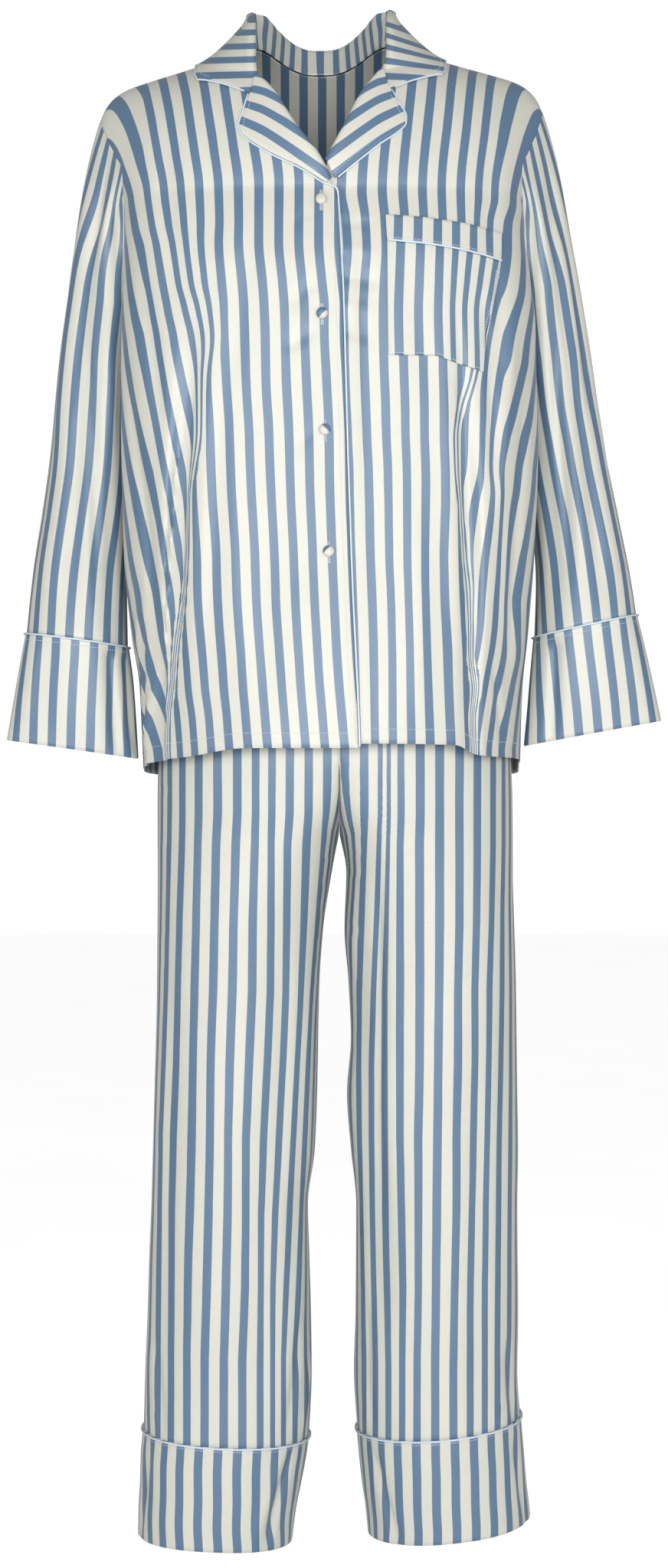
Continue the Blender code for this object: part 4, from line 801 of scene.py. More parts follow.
def front_grid(side, cell):
    """Places of a front's points: rows rise from the hem, then turn over the shoulder. Each row runs from
    the front edge to the side seam or the armhole, and it settles in a few rounds."""
    edge, hem = EDGE[side], HEM[side]
    share = np.linspace(0, 1, round(FRONT_WIDE / cell))
    tall = Z_YOKE - HEM_BASE
    us, vs = [], []
    for rise in np.linspace(0, tall, round(tall / cell / ROW_STEP), endpoint=False):
        v = low_row(hem, rise, FIRST_U)
        for _ in range(4):
            u = edge(v) + (armhole_u(side, -1, v) - edge(v)) * share
            v = low_row(hem, rise, u)
        us.append(u)
        vs.append(v)
    for part in np.linspace(0, 1, round(TURN_LONG / cell)):
        neck, arm = NECK_ROWS[side](part), Z_YOKE + (RIDGE_V - Z_YOKE) * part
        us.append(edge(neck) + (armhole_u(side, -1, arm) - edge(neck)) * share)
        vs.append(neck + (arm - neck) * share)
    return np.array(us), np.array(vs)


def sink(side, u, v):
    """How far the left front lies under the right one."""
    if side < 0:
        return np.zeros_like(u)
    return -UNDERLAP * (1 - step((u + EDGE_RIGHT(v) - UNDER_START) / UNDER_SOFT))


def neck_drop(u):
    return NECK_DROP * np.clip(1 - (np.abs(u) / NECK_U) ** 2.5, 0, 1)


# stripes of the fronts by height: where they start at each of the knots across, the cloth hidden in the long
# fold, the fold's place and half its width
STRIPE_KNOTS = (0.0, 0.050, 0.090, 0.125)
SECOND_HALF = 0.014
# towards the sides the stripes crowd, as the cloth turns away
CROWD_FROM, CROWD = 0.172, 0.38
STRIPE_NAMES = ("v", "start", "near", "far", "edge", "hidden", "fold", "half")
STRIPES = tables(STRIPE_NAMES, {
    -1: (
        (-6500, -144, -168, -174, -178, 770, 1710, 70), (-6230, -127, -152, -159, -163, 730, 1680, 70),
        (-5940, -107, -135, -141, -130, 680, 1600, 70), (-5660, -94, -122, -131, -121, 635, 1540, 70),
        (-5070, -81, -98, -108, -104, 590, 1400, 70), (-4740, -75, -96, -106, -109, 525, 1350, 70),
        (-4160, -74, -86, -89, -91, 440, 1310, 70), (-3600, -82, -81, -84, -87, 355, 1170, 80),
        (-3060, -73, -65, -65, -79, 285, 1130, 100), (-2700, -63, -68, -56, -56, 250, 1070, 180),
        (-2420, -65, -61, -55, -55, 190, 1120, 220), (-2190, -45, -49, -39, -39, 155, 1220, 250),
        (-1820, -18, -19, -13, -16, 105, 1270, 250), (-1620, -20, -21, -20, -24, 45, 1300, 250),
        (-1280, -24, -22, -9, -10, 5, 1300, 220), (-960, 10, 34, 42, 44, 0, 1300, 200),
        (-560, 111, 111, 111, 106, 0, 1300, 200), (0, 185, 185, 185, 185, 0, 1300, 200),
        (585, 245, 245, 245, 245, 0, 1300, 200),
    ),
    1: (
        (-6500, 24, -49, -68, -20, 850, 1380, 60), (-6230, 16, -42, -72, -28, 790, 1370, 60),
        (-5940, 8, -33, -78, -36, 710, 1400, 60), (-5640, 1, -26, -82, -45, 630, 1350, 60),
        (-5360, -6, -25, -84, -66, 565, 1350, 60), (-5070, -16, -24, -84, -82, 525, 1350, 70),
        (-4770, -12, -30, -78, -85, 485, 1320, 90), (-4500, -19, -28, -66, -70, 450, 1290, 100),
        (-4220, -18, -24, -53, -51, 420, 1260, 70), (-3890, -7, -23, -42, -46, 350, 1220, 70),
        (-3650, -11, -27, -42, -47, 340, 1220, 70), (-3350, -19, -27, -36, -41, 340, 1290, 80),
        (-3030, -24, -30, -36, -40, 320, 1410, 90), (-2720, -24, -32, -32, -32, 285, 1480, 120),
        (-2490, -28, -31, -31, -31, 230, 1500, 160), (-2180, -3, -19, -21, -22, 140, 1500, 200),
        (-1880, 25, 1, -10, -10, 100, 1500, 200), (-1580, 5, -12, -15, -20, 65, 1500, 200),
        (-1340, -48, -31, -25, -24, 0, 1500, 200), (-740, 37, 41, 39, 42, 0, 1500, 200),
        (-510, 67, 67, 67, 67, 0, 1500, 200), (0, 115, 115, 115, 115, 0, 1500, 200),
        (585, 165, 165, 165, 165, 0, 1500, 200),
    ),
})
# a second fold of the left front: cloth hidden, place
SECOND = curve(
    (-6500, 0), (-5700, 0), (-5400, 80), (-5070, 140), (-4200, 140), (-3890, 180), (-3650, 150),
    (-3350, 80), (-2900, 0),
)
SECOND_PLACE = curve((-6000, 1800), (-5000, 1770), (-4200, 1680), (-3900, 1580), (-3300, 1600))


def front_lean(side, u, v):
    """Where a blue stripe starts in the cloth that lies before the long fold."""
    t = STRIPES[side]
    a, b, c, d = (t[name](v) for name in ("start", "near", "far", "edge"))
    x, y, z, w = STRIPE_KNOTS
    lean = a + (b - a) * np.clip((u - x) / (y - x), 0, 1) + (c - b) * np.clip((u - y) / (z - y), 0, 1)
    return lean + (d - c) * np.clip((u - z) / (w - z), 0, 1)


def front_stripe(side, u, v):
    """Distance across the stripes of a front."""
    t = STRIPES[side]
    half = t["half"](v)
    drift = t["hidden"](v) * step((u - t["fold"](v) + half) / (2 * half))
    if side > 0:
        drift = drift + SECOND(v) * step((u - SECOND_PLACE(v) + SECOND_HALF) / (2 * SECOND_HALF))
    return u - front_lean(side, u, v) + drift - CROWD * np.maximum(u - CROWD_FROM, 0)


class PYJAMA_OT_fronts(bpy.types.Operator):
    """Cut and drape the two fronts of the shirt"""

    bl_idname = "pyjama.fronts"
    bl_label = "Shirt fronts"

    def execute(self, context):
        cloth = context.scene.pyjama_cloth
        for name, side, flat in (("right", -1, (0.305, 0.84)), ("left", 1, (0.300, 0.84))):
            u, v = front_grid(side, cloth.cell)
            points = on_body(side, u, v, sink(side, u, v))
            points[-1, :, 1] -= SEAM
            piece = shell(f"shirt_front_{name}", points, cloth.wall, front_stripe(side, u, v), v)
            place(piece, f"front_{name}")
        return {"FINISHED"}


class PYJAMA_OT_back(bpy.types.Operator):
    """Cut and drape the back of the shirt"""

    bl_idname = "pyjama.back"
    bl_label = "Shirt back"

    def execute(self, context):
        cloth = context.scene.pyjama_cloth
        half = round(BACK_HALF / cloth.cell)
        share = np.concatenate((-np.linspace(1, 0, half)[:-1], np.linspace(0, 1, half)))
        side = np.where(share < 0, -1, 1)

        def width(v):
            return np.where(side < 0, armhole_u(-1, 1, v), armhole_u(1, 1, v))

        us, vs = [], []
        tall = Z_YOKE - HEM_BASE
        for rise in np.linspace(0, tall, round(tall / cloth.cell / ROW_STEP), endpoint=False):
            v = low_row(HEM_BACK, rise, FIRST_U)
            for _ in range(3):
                u = width(v) * np.abs(share)
                v = low_row(HEM_BACK, rise, u)
            us.append(u)
            vs.append(v)
        for part in np.linspace(0, 1, round(TURN_LONG / cloth.cell)):
            u = FIRST_U
            for _ in range(4):
                v = Z_YOKE + (RIDGE_V - neck_drop(u) - Z_YOKE) * part
                u = width(v) * np.abs(share)
            us.append(u)
            vs.append(v)
        u, v = np.array(us), np.array(vs)
        halves = []
        for hand in (-1, 1):
            surface = partial(back_body, hand)
            lift = strokes(CREASES[(hand, 1)], u, v) * step(u / 0.012)
            halves.append(surface(u, v) + outward(surface, u, v) * lift[..., None])
        points = np.where((side < 0)[None, :, None], halves[0], halves[1])
        points[-1, :, 1] += SEAM
        low = v[:, 0] <= Z_ARMPIT + 1e-9
        points[low, 0, 1] += SEAM
        points[low, -1, 1] += SEAM
        piece = shell("shirt_back", points, cloth.wall, u * side + 0.004, v)
        place(piece, "back")
        return {"FINISHED"}


# ---------------------------------------------------------------- sleeves

SLEEVE = fine({
    -1: (
        (-2574, -2069, -1790, -2340, 360, 600), (-2646, -2608, -1830, -2780, 340, 590),
        (-2702, -3148, -1890, -3280, 300, 560), (-2751, -3686, -1935, -3800, 260, 540),
        (-2818, -4226, -1975, -4340, 190, 520), (-2892, -4764, -1995, -4880, 100, 490),
        (-2945, -5380, -1980, -5515, 0, 450),
    ),
    1: (
        (2373, -2069, 1660, -2340, 360, 600), (2461, -2608, 1700, -2780, 340, 590),
        (2539, -3148, 1780, -3280, 300, 560), (2639, -3686, 1850, -3800, 260, 540),
        (2744, -4226, 1915, -4340, 190, 520), (2840, -4764, 1945, -4860, 100, 490),
        (2895, -5200, 1925, -5420, 0, 450),
    ),
})
CUFF = fine({
    -1: (
        (-2956, -5385, -1970, -5520, 0, 455), (-3015, -5720, -1925, -5830, -40, 400),
        (-3070, -6060, -1893, -6210, -90, 330), (-3123, -6405, -1868, -6580, -140, 250),
    ),
    1: (
        (2905, -5205, 1915, -5425, 0, 455), (2985, -5545, 1880, -5770, -40, 400),
        (3058, -5885, 1848, -6120, -90, 330), (3125, -6220, 1812, -6460, -140, 250),
    ),
})
# the solid's rings of the sleeve head and of the rest, and the finer rows of the cloth between them
HEAD_RINGS, SLEEVE_RINGS, HEAD_LEVELS, SLEEVE_LEVELS = 6, 6, 36, 78
RING_SQUARE = 2.3
SLEEVE_FOLDS = {
    -1: ((0.85, 1.55, -0.0050, 0.22, 0.1), (2.05, 2.3, -0.0035, 0.25, 0.3)),
    1: ((0.95, 1.35, -0.0050, 0.22, 0.1), (2.0, 2.2, -0.0035, 0.25, 0.3)),
}
ARM_ROWS = (-0.213, -0.206, -0.195, -0.175, -0.150)
# creases of the sleeves: start distance round from the outer edge and height, end, bow, depth and half width
SLEEVE_CREASES = fine({
    -1: (
        (450, -600, 580, -3400, 40, -34, 60), (300, -1000, 400, -4000, 30, 26, 80),
        (660, -2400, 980, -5300, 30, -34, 65), (800, -2000, 1180, -5000, 30, 26, 80),
        (160, -2800, 200, -5300, 20, -12, 110), (-500, -1000, -600, -4500, 30, -30, 80),
        (-900, -2000, -1000, -5200, 20, 26, 90), (-1100, -3000, -1200, -5300, 20, -26, 80),
    ),
    1: (
        (400, -600, 460, -3600, -40, -34, 60), (260, -1200, 320, -4200, -30, 24, 80),
        (700, -2000, 920, -5200, 30, -36, 60), (560, -2400, 740, -5000, 30, 24, 80),
        (120, -3000, 140, -5100, 20, -12, 110), (-500, -1000, -600, -4500, 30, -30, 80),
        (-850, -2000, -950, -5000, 20, 26, 90), (-1100, -2800, -1180, -5100, 20, -26, 80),
    ),
})
CUFF_CREASES = fine({
    -1: (
        (1120, -5300, 1190, -6700, 0, -42, 60), (1310, -5350, 1400, -6700, 0, -30, 60),
        (500, -5300, 520, -6600, 20, -10, 110), (-600, -5300, -650, -6600, 20, -16, 110),
    ),
    1: (
        (1120, -5200, 1190, -6600, 0, -38, 60), (400, -5200, 420, -6500, 20, -10, 110),
        (-600, -5200, -650, -6500, 20, -16, 110),
    ),
})


def rounded_square(turn):
    """Sine and cosine of a turn, pushed out towards the corners."""
    return tuple(np.sign(a) * np.abs(a) ** (2 / RING_SQUARE) for a in (np.cos(turn), np.sin(turn)))


def ring(row, turn):
    """A ring between its outer edge (ox, oz) and its inner edge (ix, iz), deep to each side of y."""
    ox, oz, ix, iz, y, deep = row
    a, b = rounded_square(turn)
    return np.stack(((ox + ix) / 2 + (ox - ix) / 2 * a, y - deep * b, (oz + iz) / 2 + (oz - iz) / 2 * a), -1)


def more_rows(rows, count):
    """More rows between those of a table, on a smooth line through each column."""
    rows = np.asarray(rows)
    marks = np.linspace(0, len(rows) - 1, count)
    return np.stack([smooth(np.arange(len(rows)), rows[:, k])(marks) for k in range(rows.shape[1])], -1)


def edge_away(side, face, v):
    """Points of the armhole's edge and the way out of the panel there."""
    surface = partial(back_body if face > 0 else bare_body, side)
    u = armhole_u(side, face, v)
    p = surface(u, v)
    inside = surface(u - 0.006, np.maximum(v - 0.006, -0.68))
    n = outward(surface, u, v)
    t = unit(np.gradient(p, v, axis=0))
    away = np.cross(n, t)
    away *= np.sign(np.sum(away * (p - inside), axis=1, keepdims=True))
    return p, away


def armhole_ring(side, split):
    """The armhole as a ring from the top of the shoulder: down the front and up the back."""
    rows = np.array(ARM_ROWS + tuple(Z_YOKE + (RIDGE_V - Z_YOKE) * part for part in TURN_ROWS))[::-1]
    coarse = np.arange(len(rows))
    rows = np.interp(np.linspace(0, len(rows) - 1, (len(rows) - 1) * split + 1), coarse, rows)
    half = len(rows) - 1
    front, back = edge_away(side, -1, rows), edge_away(side, 1, rows)
    points, away = (np.concatenate((f, b[1:-1][::-1])) for f, b in zip(front, back))
    for k, m in ((0, 0), (half, -1)):
        away[k] = front[1][m] + back[1][m]
    away = unit(away)
    along = np.cumsum(np.linalg.norm(points - np.roll(points, 1, axis=0), axis=1))
    along -= along[0]
    first = along[: half + 1] / along[half] / 2
    whole = along[-1] - along[half] + np.linalg.norm(points[0] - points[-1])
    rest = (along[half:] - along[half]) / whole / 2
    share = np.concatenate((first, 0.5 + rest[1:]))
    return points + away * (SEAM + 0.0002), away, share


def from_the_edge(points, half):
    """Signed distance round each ring from its first point, with the closing column that the map needs."""
    loop = np.concatenate((points, points[:, :1]), 1)
    run = lengths(loop)
    return np.where(np.arange(run.shape[1]) <= half, run, run - run[:, -1:])


def creased(points, half, rows, calm, push=0.0):
    """A tube with its creases laid on, by distance round from its outer edge and height."""
    run = from_the_edge(points, half)[:, :-1]
    push = push + strokes(rows, run, points[..., 2]) * calm
    return points + facing(points, True) * push[..., None]


def tube_shell(name, points, thick, half, start=None):
    """A tube of cloth whose map runs both ways from its outer edge and is cut at its inner edge."""
    run = from_the_edge(points, half)
    count = points.shape[1]
    order = (np.arange(count) + half) % count
    turned, along = points[:, order], points[..., 2]
    phase = start(along.mean(1, keepdims=True)) if start else 0.0
    across = np.concatenate((run[:, half:half + 1], run[:, half + 1:count], run[:, : half + 1]), 1)
    across[:, 0] = across[:, 1] - np.linalg.norm(turned[:, 1] - turned[:, 0], axis=1)
    rise = np.concatenate((along[:, order], along[:, half:half + 1]), 1)
    return shell(name, turned, thick, across + phase, rise, closed=True)


def sleeve_points(side):
    start, away, share = armhole_ring(side, 5)
    even = np.arange(len(share)) / len(share)
    turn = 2 * math.pi * (0.35 * share + 0.65 * even)
    rows = SLEEVE[side]
    first, second = ring(rows[0], turn), ring(rows[1], turn)
    end_way = unit(second - first)
    top = ((1 + np.cos(turn)) / 2)[:, None]
    start_way = unit(away * (0.10 + 0.75 * top**0.6) + end_way * (0.90 - 0.60 * top**0.6))
    span = np.linalg.norm(first - start, axis=1, keepdims=True)
    head = np.linspace(0, HEAD_RINGS, HEAD_LEVELS, endpoint=False)
    rings = [
        hermite((k / HEAD_RINGS) ** 1.15, start, first, span * 0.9 * start_way, span * end_way) for k in head
    ]
    points = np.array(rings + [ring(row, turn) for row in more_rows(rows, SLEEVE_LEVELS)])
    # the solid's rings are even by number, so its folds are laid out by that share here too
    length = np.concatenate((head, HEAD_RINGS + np.linspace(0, SLEEVE_RINGS, SLEEVE_LEVELS)))
    length = (length / (HEAD_RINGS + SLEEVE_RINGS))[:, None]
    push = np.zeros(points.shape[:2])
    for top_turn, low_turn, deep, wide, begin in SLEEVE_FOLDS[side]:
        middle = top_turn + (low_turn - top_turn) * length
        grow = step((length - begin) / 0.25) * step((1.0 - length) / 0.12)
        push += deep * grow * np.exp(-(((turn[None] - middle) / wide) ** 2))
    half = len(turn) // 2
    calm = step(length / 0.10) * step((1 - length) / 0.05)
    return creased(points, half, SLEEVE_CREASES[side], calm, push), half


# where the stripes of the sleeves, their cuffs and the leg cuffs start, by height
SLEEVE_START = {
    -1: smooth((-0.56, -0.530, -0.331, -0.156), (0.0069, 0.0065, 0.0002, 0.0)),
    1: smooth((-0.56, -0.530, -0.331, -0.156), (0.0105, 0.0097, 0.0009, 0.0009)),
}
CUFF_START = {
    -1: smooth((-0.660, -0.615, -0.571, -0.530), (0.0040, 0.0025, 0.0005, -0.0010)),
    1: smooth((-0.660, -0.615, -0.571, -0.530), (0.0060, 0.0032, 0.0, -0.0020)),
}
LEG_CUFF_START = {
    -1: smooth((-1.40, -1.28), (-0.1250, -0.1189)),
    1: smooth((-1.40, -1.28), (-0.1376, -0.1287)),
}


class PYJAMA_OT_sleeves(bpy.types.Operator):
    """Cut and drape the sleeves and their deep cuffs"""

    bl_idname = "pyjama.sleeves"
    bl_label = "Sleeves and cuffs"

    def execute(self, context):
        cloth = context.scene.pyjama_cloth
        for word, side in HANDS:
            points, half = sleeve_points(side)
            piece = tube_shell(f"shirt_sleeve_{word}", points, cloth.wall, half, SLEEVE_START[side])
            place(piece, f"sleeve_{word}")
            points, half = cuff_points(side)
            piece = tube_shell(f"shirt_cuff_{word}", points, cloth.double, half, CUFF_START[side])
            place(piece, f"cuff_{word}")
        return {"FINISHED"}


def cuff_points(side, count=110, levels=34):
    turn = np.linspace(0, 2 * math.pi, count, endpoint=False)
    points = np.array([ring(row, turn) for row in more_rows(CUFF[side], levels)])
    points[0, :, 2] -= SEAM
    calm = step(np.linspace(0, 1, levels) / 0.16)[:, None]
    return creased(points, count // 2, CUFF_CREASES[side], calm), count // 2


# ---------------------------------------------------------------- lapels and collar

def line_of(columns, share, word):
    """A line (u, v) of a table, such as its roll or its edge."""
    return np.stack((columns[word + "_u"](share), columns[word + "_v"](share)), -1)


def square_to(run):
    return unit(np.stack((run[:, 1], -run[:, 0]), -1))


LAPEL_NAMES = ("share", "roll_u", "roll_v", "edge_u", "edge_v")
LAPEL = tables(LAPEL_NAMES, {
    -1: (
        (0, -72, -1248, -45, -1266), (1900, 45, -1080, 170, -1162), (4800, 265, -845, 507, -1027),
        (6500, 390, -665, 694, -911), (7100, 425, -608, 742, -860), (7600, 460, -560, 755, -803),
        (8300, 512, -495, 723, -711), (9300, 585, -400, 686, -580), (10000, 620, -358, 660, -514),
    ),
    1: (
        (0, 64, -1118, 126, -1232), (1900, 166, -972, 334, -1104), (4500, 295, -767, 553, -967),
        (6600, 395, -588, 741, -839), (7200, 425, -548, 778, -795), (7800, 460, -503, 780, -731),
        (8400, 500, -450, 743, -670), (9300, 560, -360, 678, -560), (10000, 588, -326, 628, -496),
    ),
})
LAPEL_ROLL = ((-0.0030, -0.0012), (-0.0033, 0.0012), (-0.0019, 0.0036), (0.0008, 0.0046))
LAPEL_LIFT = 0.0026
# a lapel's stripes run along its lower edge: a point of that edge, the way across them, and their phase
LAPEL_STRIPES = {
    -1: ((-0.0045, -0.1266), (-0.61, 1.115), -0.0021),
    1: ((0.0126, -0.1232), (-0.668, 1.124), -0.016),
}


def lapel_points(side, rows, columns):
    share = np.linspace(0, 1, rows)
    t = LAPEL[side]
    a, b = line_of(t, share, "roll"), line_of(t, share, "edge")
    wide = np.linalg.norm(b - a, axis=1, keepdims=True)
    way = (b - a) / wide
    square = square_to(np.gradient(a, axis=0))
    spot, height = [], []
    for off, lift in LAPEL_ROLL:
        spot.append(a + (square if off < 0 else way) * off)
        height.append(np.full(rows, lift))
    for k in range(1, columns + 1):
        part = k / columns
        spot.append(a + way * (0.0008 + (wide - 0.0008) * part))
        height.append(LAPEL_LIFT + (0.0046 - LAPEL_LIFT) * (1 - part) ** 1.5 + np.zeros(rows))
    spot, height = np.stack(spot, 1), np.stack(height, 1)
    return on_body(side, spot[..., 0], spot[..., 1], height), spot


class PYJAMA_OT_lapels(bpy.types.Operator):
    """Fold back the two lapels"""

    bl_idname = "pyjama.lapels"
    bl_label = "Lapels"

    def execute(self, context):
        cloth = context.scene.pyjama_cloth
        for word, side in HANDS:
            both = bend_rows(np.concatenate(lapel_points(side, 70, 8), -1), 30)
            points, spot = both[..., :3], both[..., 3:]
            (u0, v0), way, phase = LAPEL_STRIPES[side]
            across = (spot[..., 0] - u0) * way[0] + (spot[..., 1] - v0) * way[1] + phase
            along = (spot[..., 0] - u0) * way[1] - (spot[..., 1] - v0) * way[0]
            piece = shell(f"shirt_lapel_{word}", points, cloth.double, across, along)
            place(piece, f"lapel_{word}")
        return {"FINISHED"}


COLLAR = table(
    ("share", "neck_u", "neck_v", "edge_u", "edge_v", "rise", "lean", "shift_u", "shift_v"),
    (
        (0, 670, -511, 1160, -150, 32, 0, -32, 18), (500, 652, -434, 1180, -85, 36, 0, -32, 25),
        (1050, 631, -355, 1190, -10, 44, 0, -32, 32), (1280, 632, -338, 1191, 25, 50, 0, -30, 31),
        (1700, 645, -260, 1192, 90, 72, 5, -30, 22), (2500, 652, -80, 1192, 250, 150, 40, -15, 10),
        (3500, 662, 230, 1182, 430, 260, 85, -3, 0), (4500, 660, 585, 1165, 620, 320, 95, 0, 0),
        (5800, 590, 735, 1080, 860, 325, 80, 0, 0), (7200, 440, 965, 830, 1130, 330, 50, 0, 0),
        (8600, 230, 1160, 440, 1320, 335, 40, 0, 0), (10000, 0, 1213, 0, 1400, 335, 40, 0, 0),
    ),
)
COLLAR_LIFT = 0.0026
NOTCH_SHIFT = {-1: 0.0, 1: -0.0030}


def collar_half(side, share, columns):
    """Half of the collar from the notch (share 0) to the centre back (share 1): points and places (u, v)."""
    t = COLLAR
    fade = np.clip(1 - share / 0.45, 0, 1) * NOTCH_SHIFT[side]
    rise = t["rise"](share)
    wrap, drop = step((share - 0.106) / 0.020), step((share - 0.125) / 0.045)
    own = max(side, 0)
    neck_v = t["neck_v"](share) + own * t["shift_v"](share)
    neck_v = np.where(share > 0.45, RIDGE_V + neck_drop(t["neck_u"](share)), neck_v)
    border = EDGE[side]
    follow = wrap * step((RIDGE_V - neck_v) / 0.03)
    neck_u = (t["neck_u"](share) + own * t["shift_u"](share)) * (1 - follow) + border(neck_v) * follow
    a = np.stack((neck_u, neck_v), -1)
    b = line_of(t, share, "edge") + np.stack((fade, -0.3 * fade), -1)
    wide = np.linalg.norm(b - a, axis=1, keepdims=True)
    way = (b - a) / wide
    run = unit(np.gradient(a, share, axis=0))
    slope = (border(neck_v + 0.003) - border(neck_v - 0.003)) / 0.006
    slope = np.stack((slope, np.ones_like(slope)), -1) / np.hypot(slope, 1)[:, None]
    square = square_to(run * (1 - follow[:, None]) + slope * follow[:, None])
    low = -0.0012 * (1 - step(rise / 0.02))
    spot, height = [], []
    roll = (
        (-0.0033, low, 0.0000),
        (-0.0036, low + (rise - low) * 0.45, 0.0008),
        (-0.0028, np.maximum(rise - 0.0036, low + (rise - low) * 0.62), 0.0016),
        (-0.0012, rise - 0.0009, 0.0024),
        (0.0018, rise, 0.0036),
    )
    for (off, lift, plain), part in zip(roll, (0.0, 0.4, 0.8, 1.0, 1.0)):
        gone = (plain - 0.0030 * wrap) * (1 - drop) + (off - t["lean"](share) * part) * drop
        spot.append(a + np.where((gone < 0)[:, None], square, way) * gone[:, None])
        height.append(lift * drop + COLLAR_LIFT * (1 - drop))
    start = gone[:, None]
    for k in range(1, columns + 1):
        part = k / columns
        spot.append(a + way * (start + (wide - start) * part))
        height.append(COLLAR_LIFT + (height[4] - COLLAR_LIFT) * (1 - part) ** 1.3)
    spot, height = np.stack(spot, 1), np.stack(height, 1)
    return on_body(side, np.maximum(spot[..., 0], 0.0), spot[..., 1], height), spot


# stripes of the collar's front by side: height of each blue band at the fold, and how far it falls outward
COLLAR_BANDS = fine({
    -1: (
        (-470, 0), (-310, 0), (-161, 200), (-11, 300), (133, 300), (254, 300), (386, 300), (501, 300),
        (610, 300),
    ),
    1: (
        (-450, 0), (-305, 0), (-165, 0), (-27, 400), (115, 1400), (243, 2350), (350, 3300), (457, 3300),
        (560, 3300),
    ),
})
# the bands lean back with the collar: height given up for each step to the front
COLLAR_TILT = 0.235
COLLAR_FOLD_X = {-1: -0.080, 1: 0.052}


def collar_band(side, points, pitch):
    """Place across the stripes on the collar's front, counted upward in bands."""
    height, fall = np.array(COLLAR_BANDS[side]).T
    count = np.arange(len(height))
    out = side * (points[..., 0] - COLLAR_FOLD_X[side])
    level = points[..., 2] - COLLAR_TILT * points[..., 1]
    band = np.interp(level, height, count)
    for _ in range(12):
        band = np.interp(level + np.interp(band, count, fall) * out, height, count)
    return band * pitch


def collar_points(stations, columns):
    right, left = (collar_half(side, stations, columns)[0] for side in (-1, 1))
    middle = (right[-1] + left[-1]) / 2
    middle[:, 0] = float(CENTRE_X(0.0))
    return np.concatenate((right[:-1], middle[None], left[:-1][::-1]))


class PYJAMA_OT_collar(bpy.types.Operator):
    """Make the collar with its fold and stand"""

    bl_idname = "pyjama.collar"
    bl_label = "Collar"

    def execute(self, context):
        cloth = context.scene.pyjama_cloth
        points = bend_rows(collar_points(np.linspace(0, 1, 84), 6), 40)
        middle = points.shape[0] // 2
        fold = 22
        run = lengths(points[:, fold])
        run = (run - run[middle])[:, None]
        down = lengths(points)
        across = np.repeat(run + 0.006, down.shape[1], axis=1)
        half = np.minimum(np.arange(len(points)), np.arange(len(points))[::-1]) / middle
        for side, here in ((-1, slice(0, middle)), (1, slice(middle + 1, None))):
            share = half[here][:, None]
            front = -side * collar_band(side, points[here], cloth.pitch) + cloth.blue_width / 2
            mid = np.argmin(np.abs(share[:, 0] - 0.40))
            gap = front[mid, fold] - across[here][mid, fold]
            near = 1 - step((share - 0.34) / 0.12)
            gap -= round(gap / cloth.pitch) * cloth.pitch
            back = across[here] + gap * (1 - step((share - 0.46) / 0.5))
            front -= round((front[mid, fold] - back[mid, fold]) / cloth.pitch) * cloth.pitch
            across[here] = front * near + back * (1 - near)
        piece = shell("shirt_collar", points, cloth.double, across, down)
        place(piece, "collar")
        return {"FINISHED"}


# ---------------------------------------------------------------- pocket and buttons

POCKET_LEFT = table(("share", "u", "v"), ((0, 612, -1812), (5000, 610, -2340), (10000, 612, -2869)))
POCKET_RIGHT = table(("share", "u", "v"), (
    (0, 1686, -1966), (2500, 1645, -2225), (6200, 1545, -2654), (10000, 1495, -3005),
))
POCKET_FOOT = smooth((0.0, 0.47, 0.65, 1.0), (0.0, 0.0, 0.35, 1.0))
BAND = {"top": ((0.0600, -0.1577), (0.1744, -0.1706)), "foot": ((0.0612, -0.1806), (0.1694, -0.1958))}
POCKET_LIFT = 0.0022
POCKET_BOW = 0.0022
BAND_LIFT = 0.0033
# a button's outline: share of its radius and of its height
BUTTON_PROFILE = (
    (0.86, -0.05), (0.98, 0.06), (1.0, 0.22), (0.97, 0.42), (0.87, 0.64), (0.70, 0.82), (0.46, 0.94),
    (0.20, 0.99),
)
BUTTON_V = (-0.1417, -0.2487, -0.3563, -0.4689)
# how the stripes run over each button: share of the way to the left and up, and where they start
BUTTON_CLOTH = ((1.0, 0.0, 0.0135), (0.70, -0.71, 0.0077), (0.70, 0.71, -0.0010), (-0.70, 0.71, -0.0018))
# stripes of the pocket and its band by height: where they start, and how they crowd towards the outer edge
POCKET_STRIPES = table(("v", "start", "crowd"), (
    (-3030, -71, 6200), (-2720, -75, 6000), (-2490, -77, 6000), (-2180, -64, 4500), (-1880, -50, 3000),
))
BAND_STRIPES = table(("v", "start", "crowd"), ((-1960, -79, 1000), (-1580, -71, 800)))


def pocket_place(across, down):
    lu, lv = POCKET_LEFT["u"](down), POCKET_LEFT["v"](down)
    ru, rv = POCKET_RIGHT["u"](down), POCKET_RIGHT["v"](down)
    bend = across + (POCKET_FOOT(across) - across) * down
    return lu + (ru - lu) * across, lv + (rv - lv) * bend


def band_place(across, down):
    (au, av), (bu, bv) = BAND["top"]
    (cu, cv), (du, dv) = BAND["foot"]
    tu, tv = au + (bu - au) * across, av + (bv - av) * across
    fu, fv = cu + (du - cu) * across, cv + (dv - cv) * across
    return tu + (fu - tu) * down, tv + (fv - tv) * down + POCKET_BOW * np.sin(math.pi * across)


def pocket_stripe(stripes, u, v):
    return u - stripes["start"](v) + stripes["crowd"](v) * np.maximum(u - 0.112, 0)


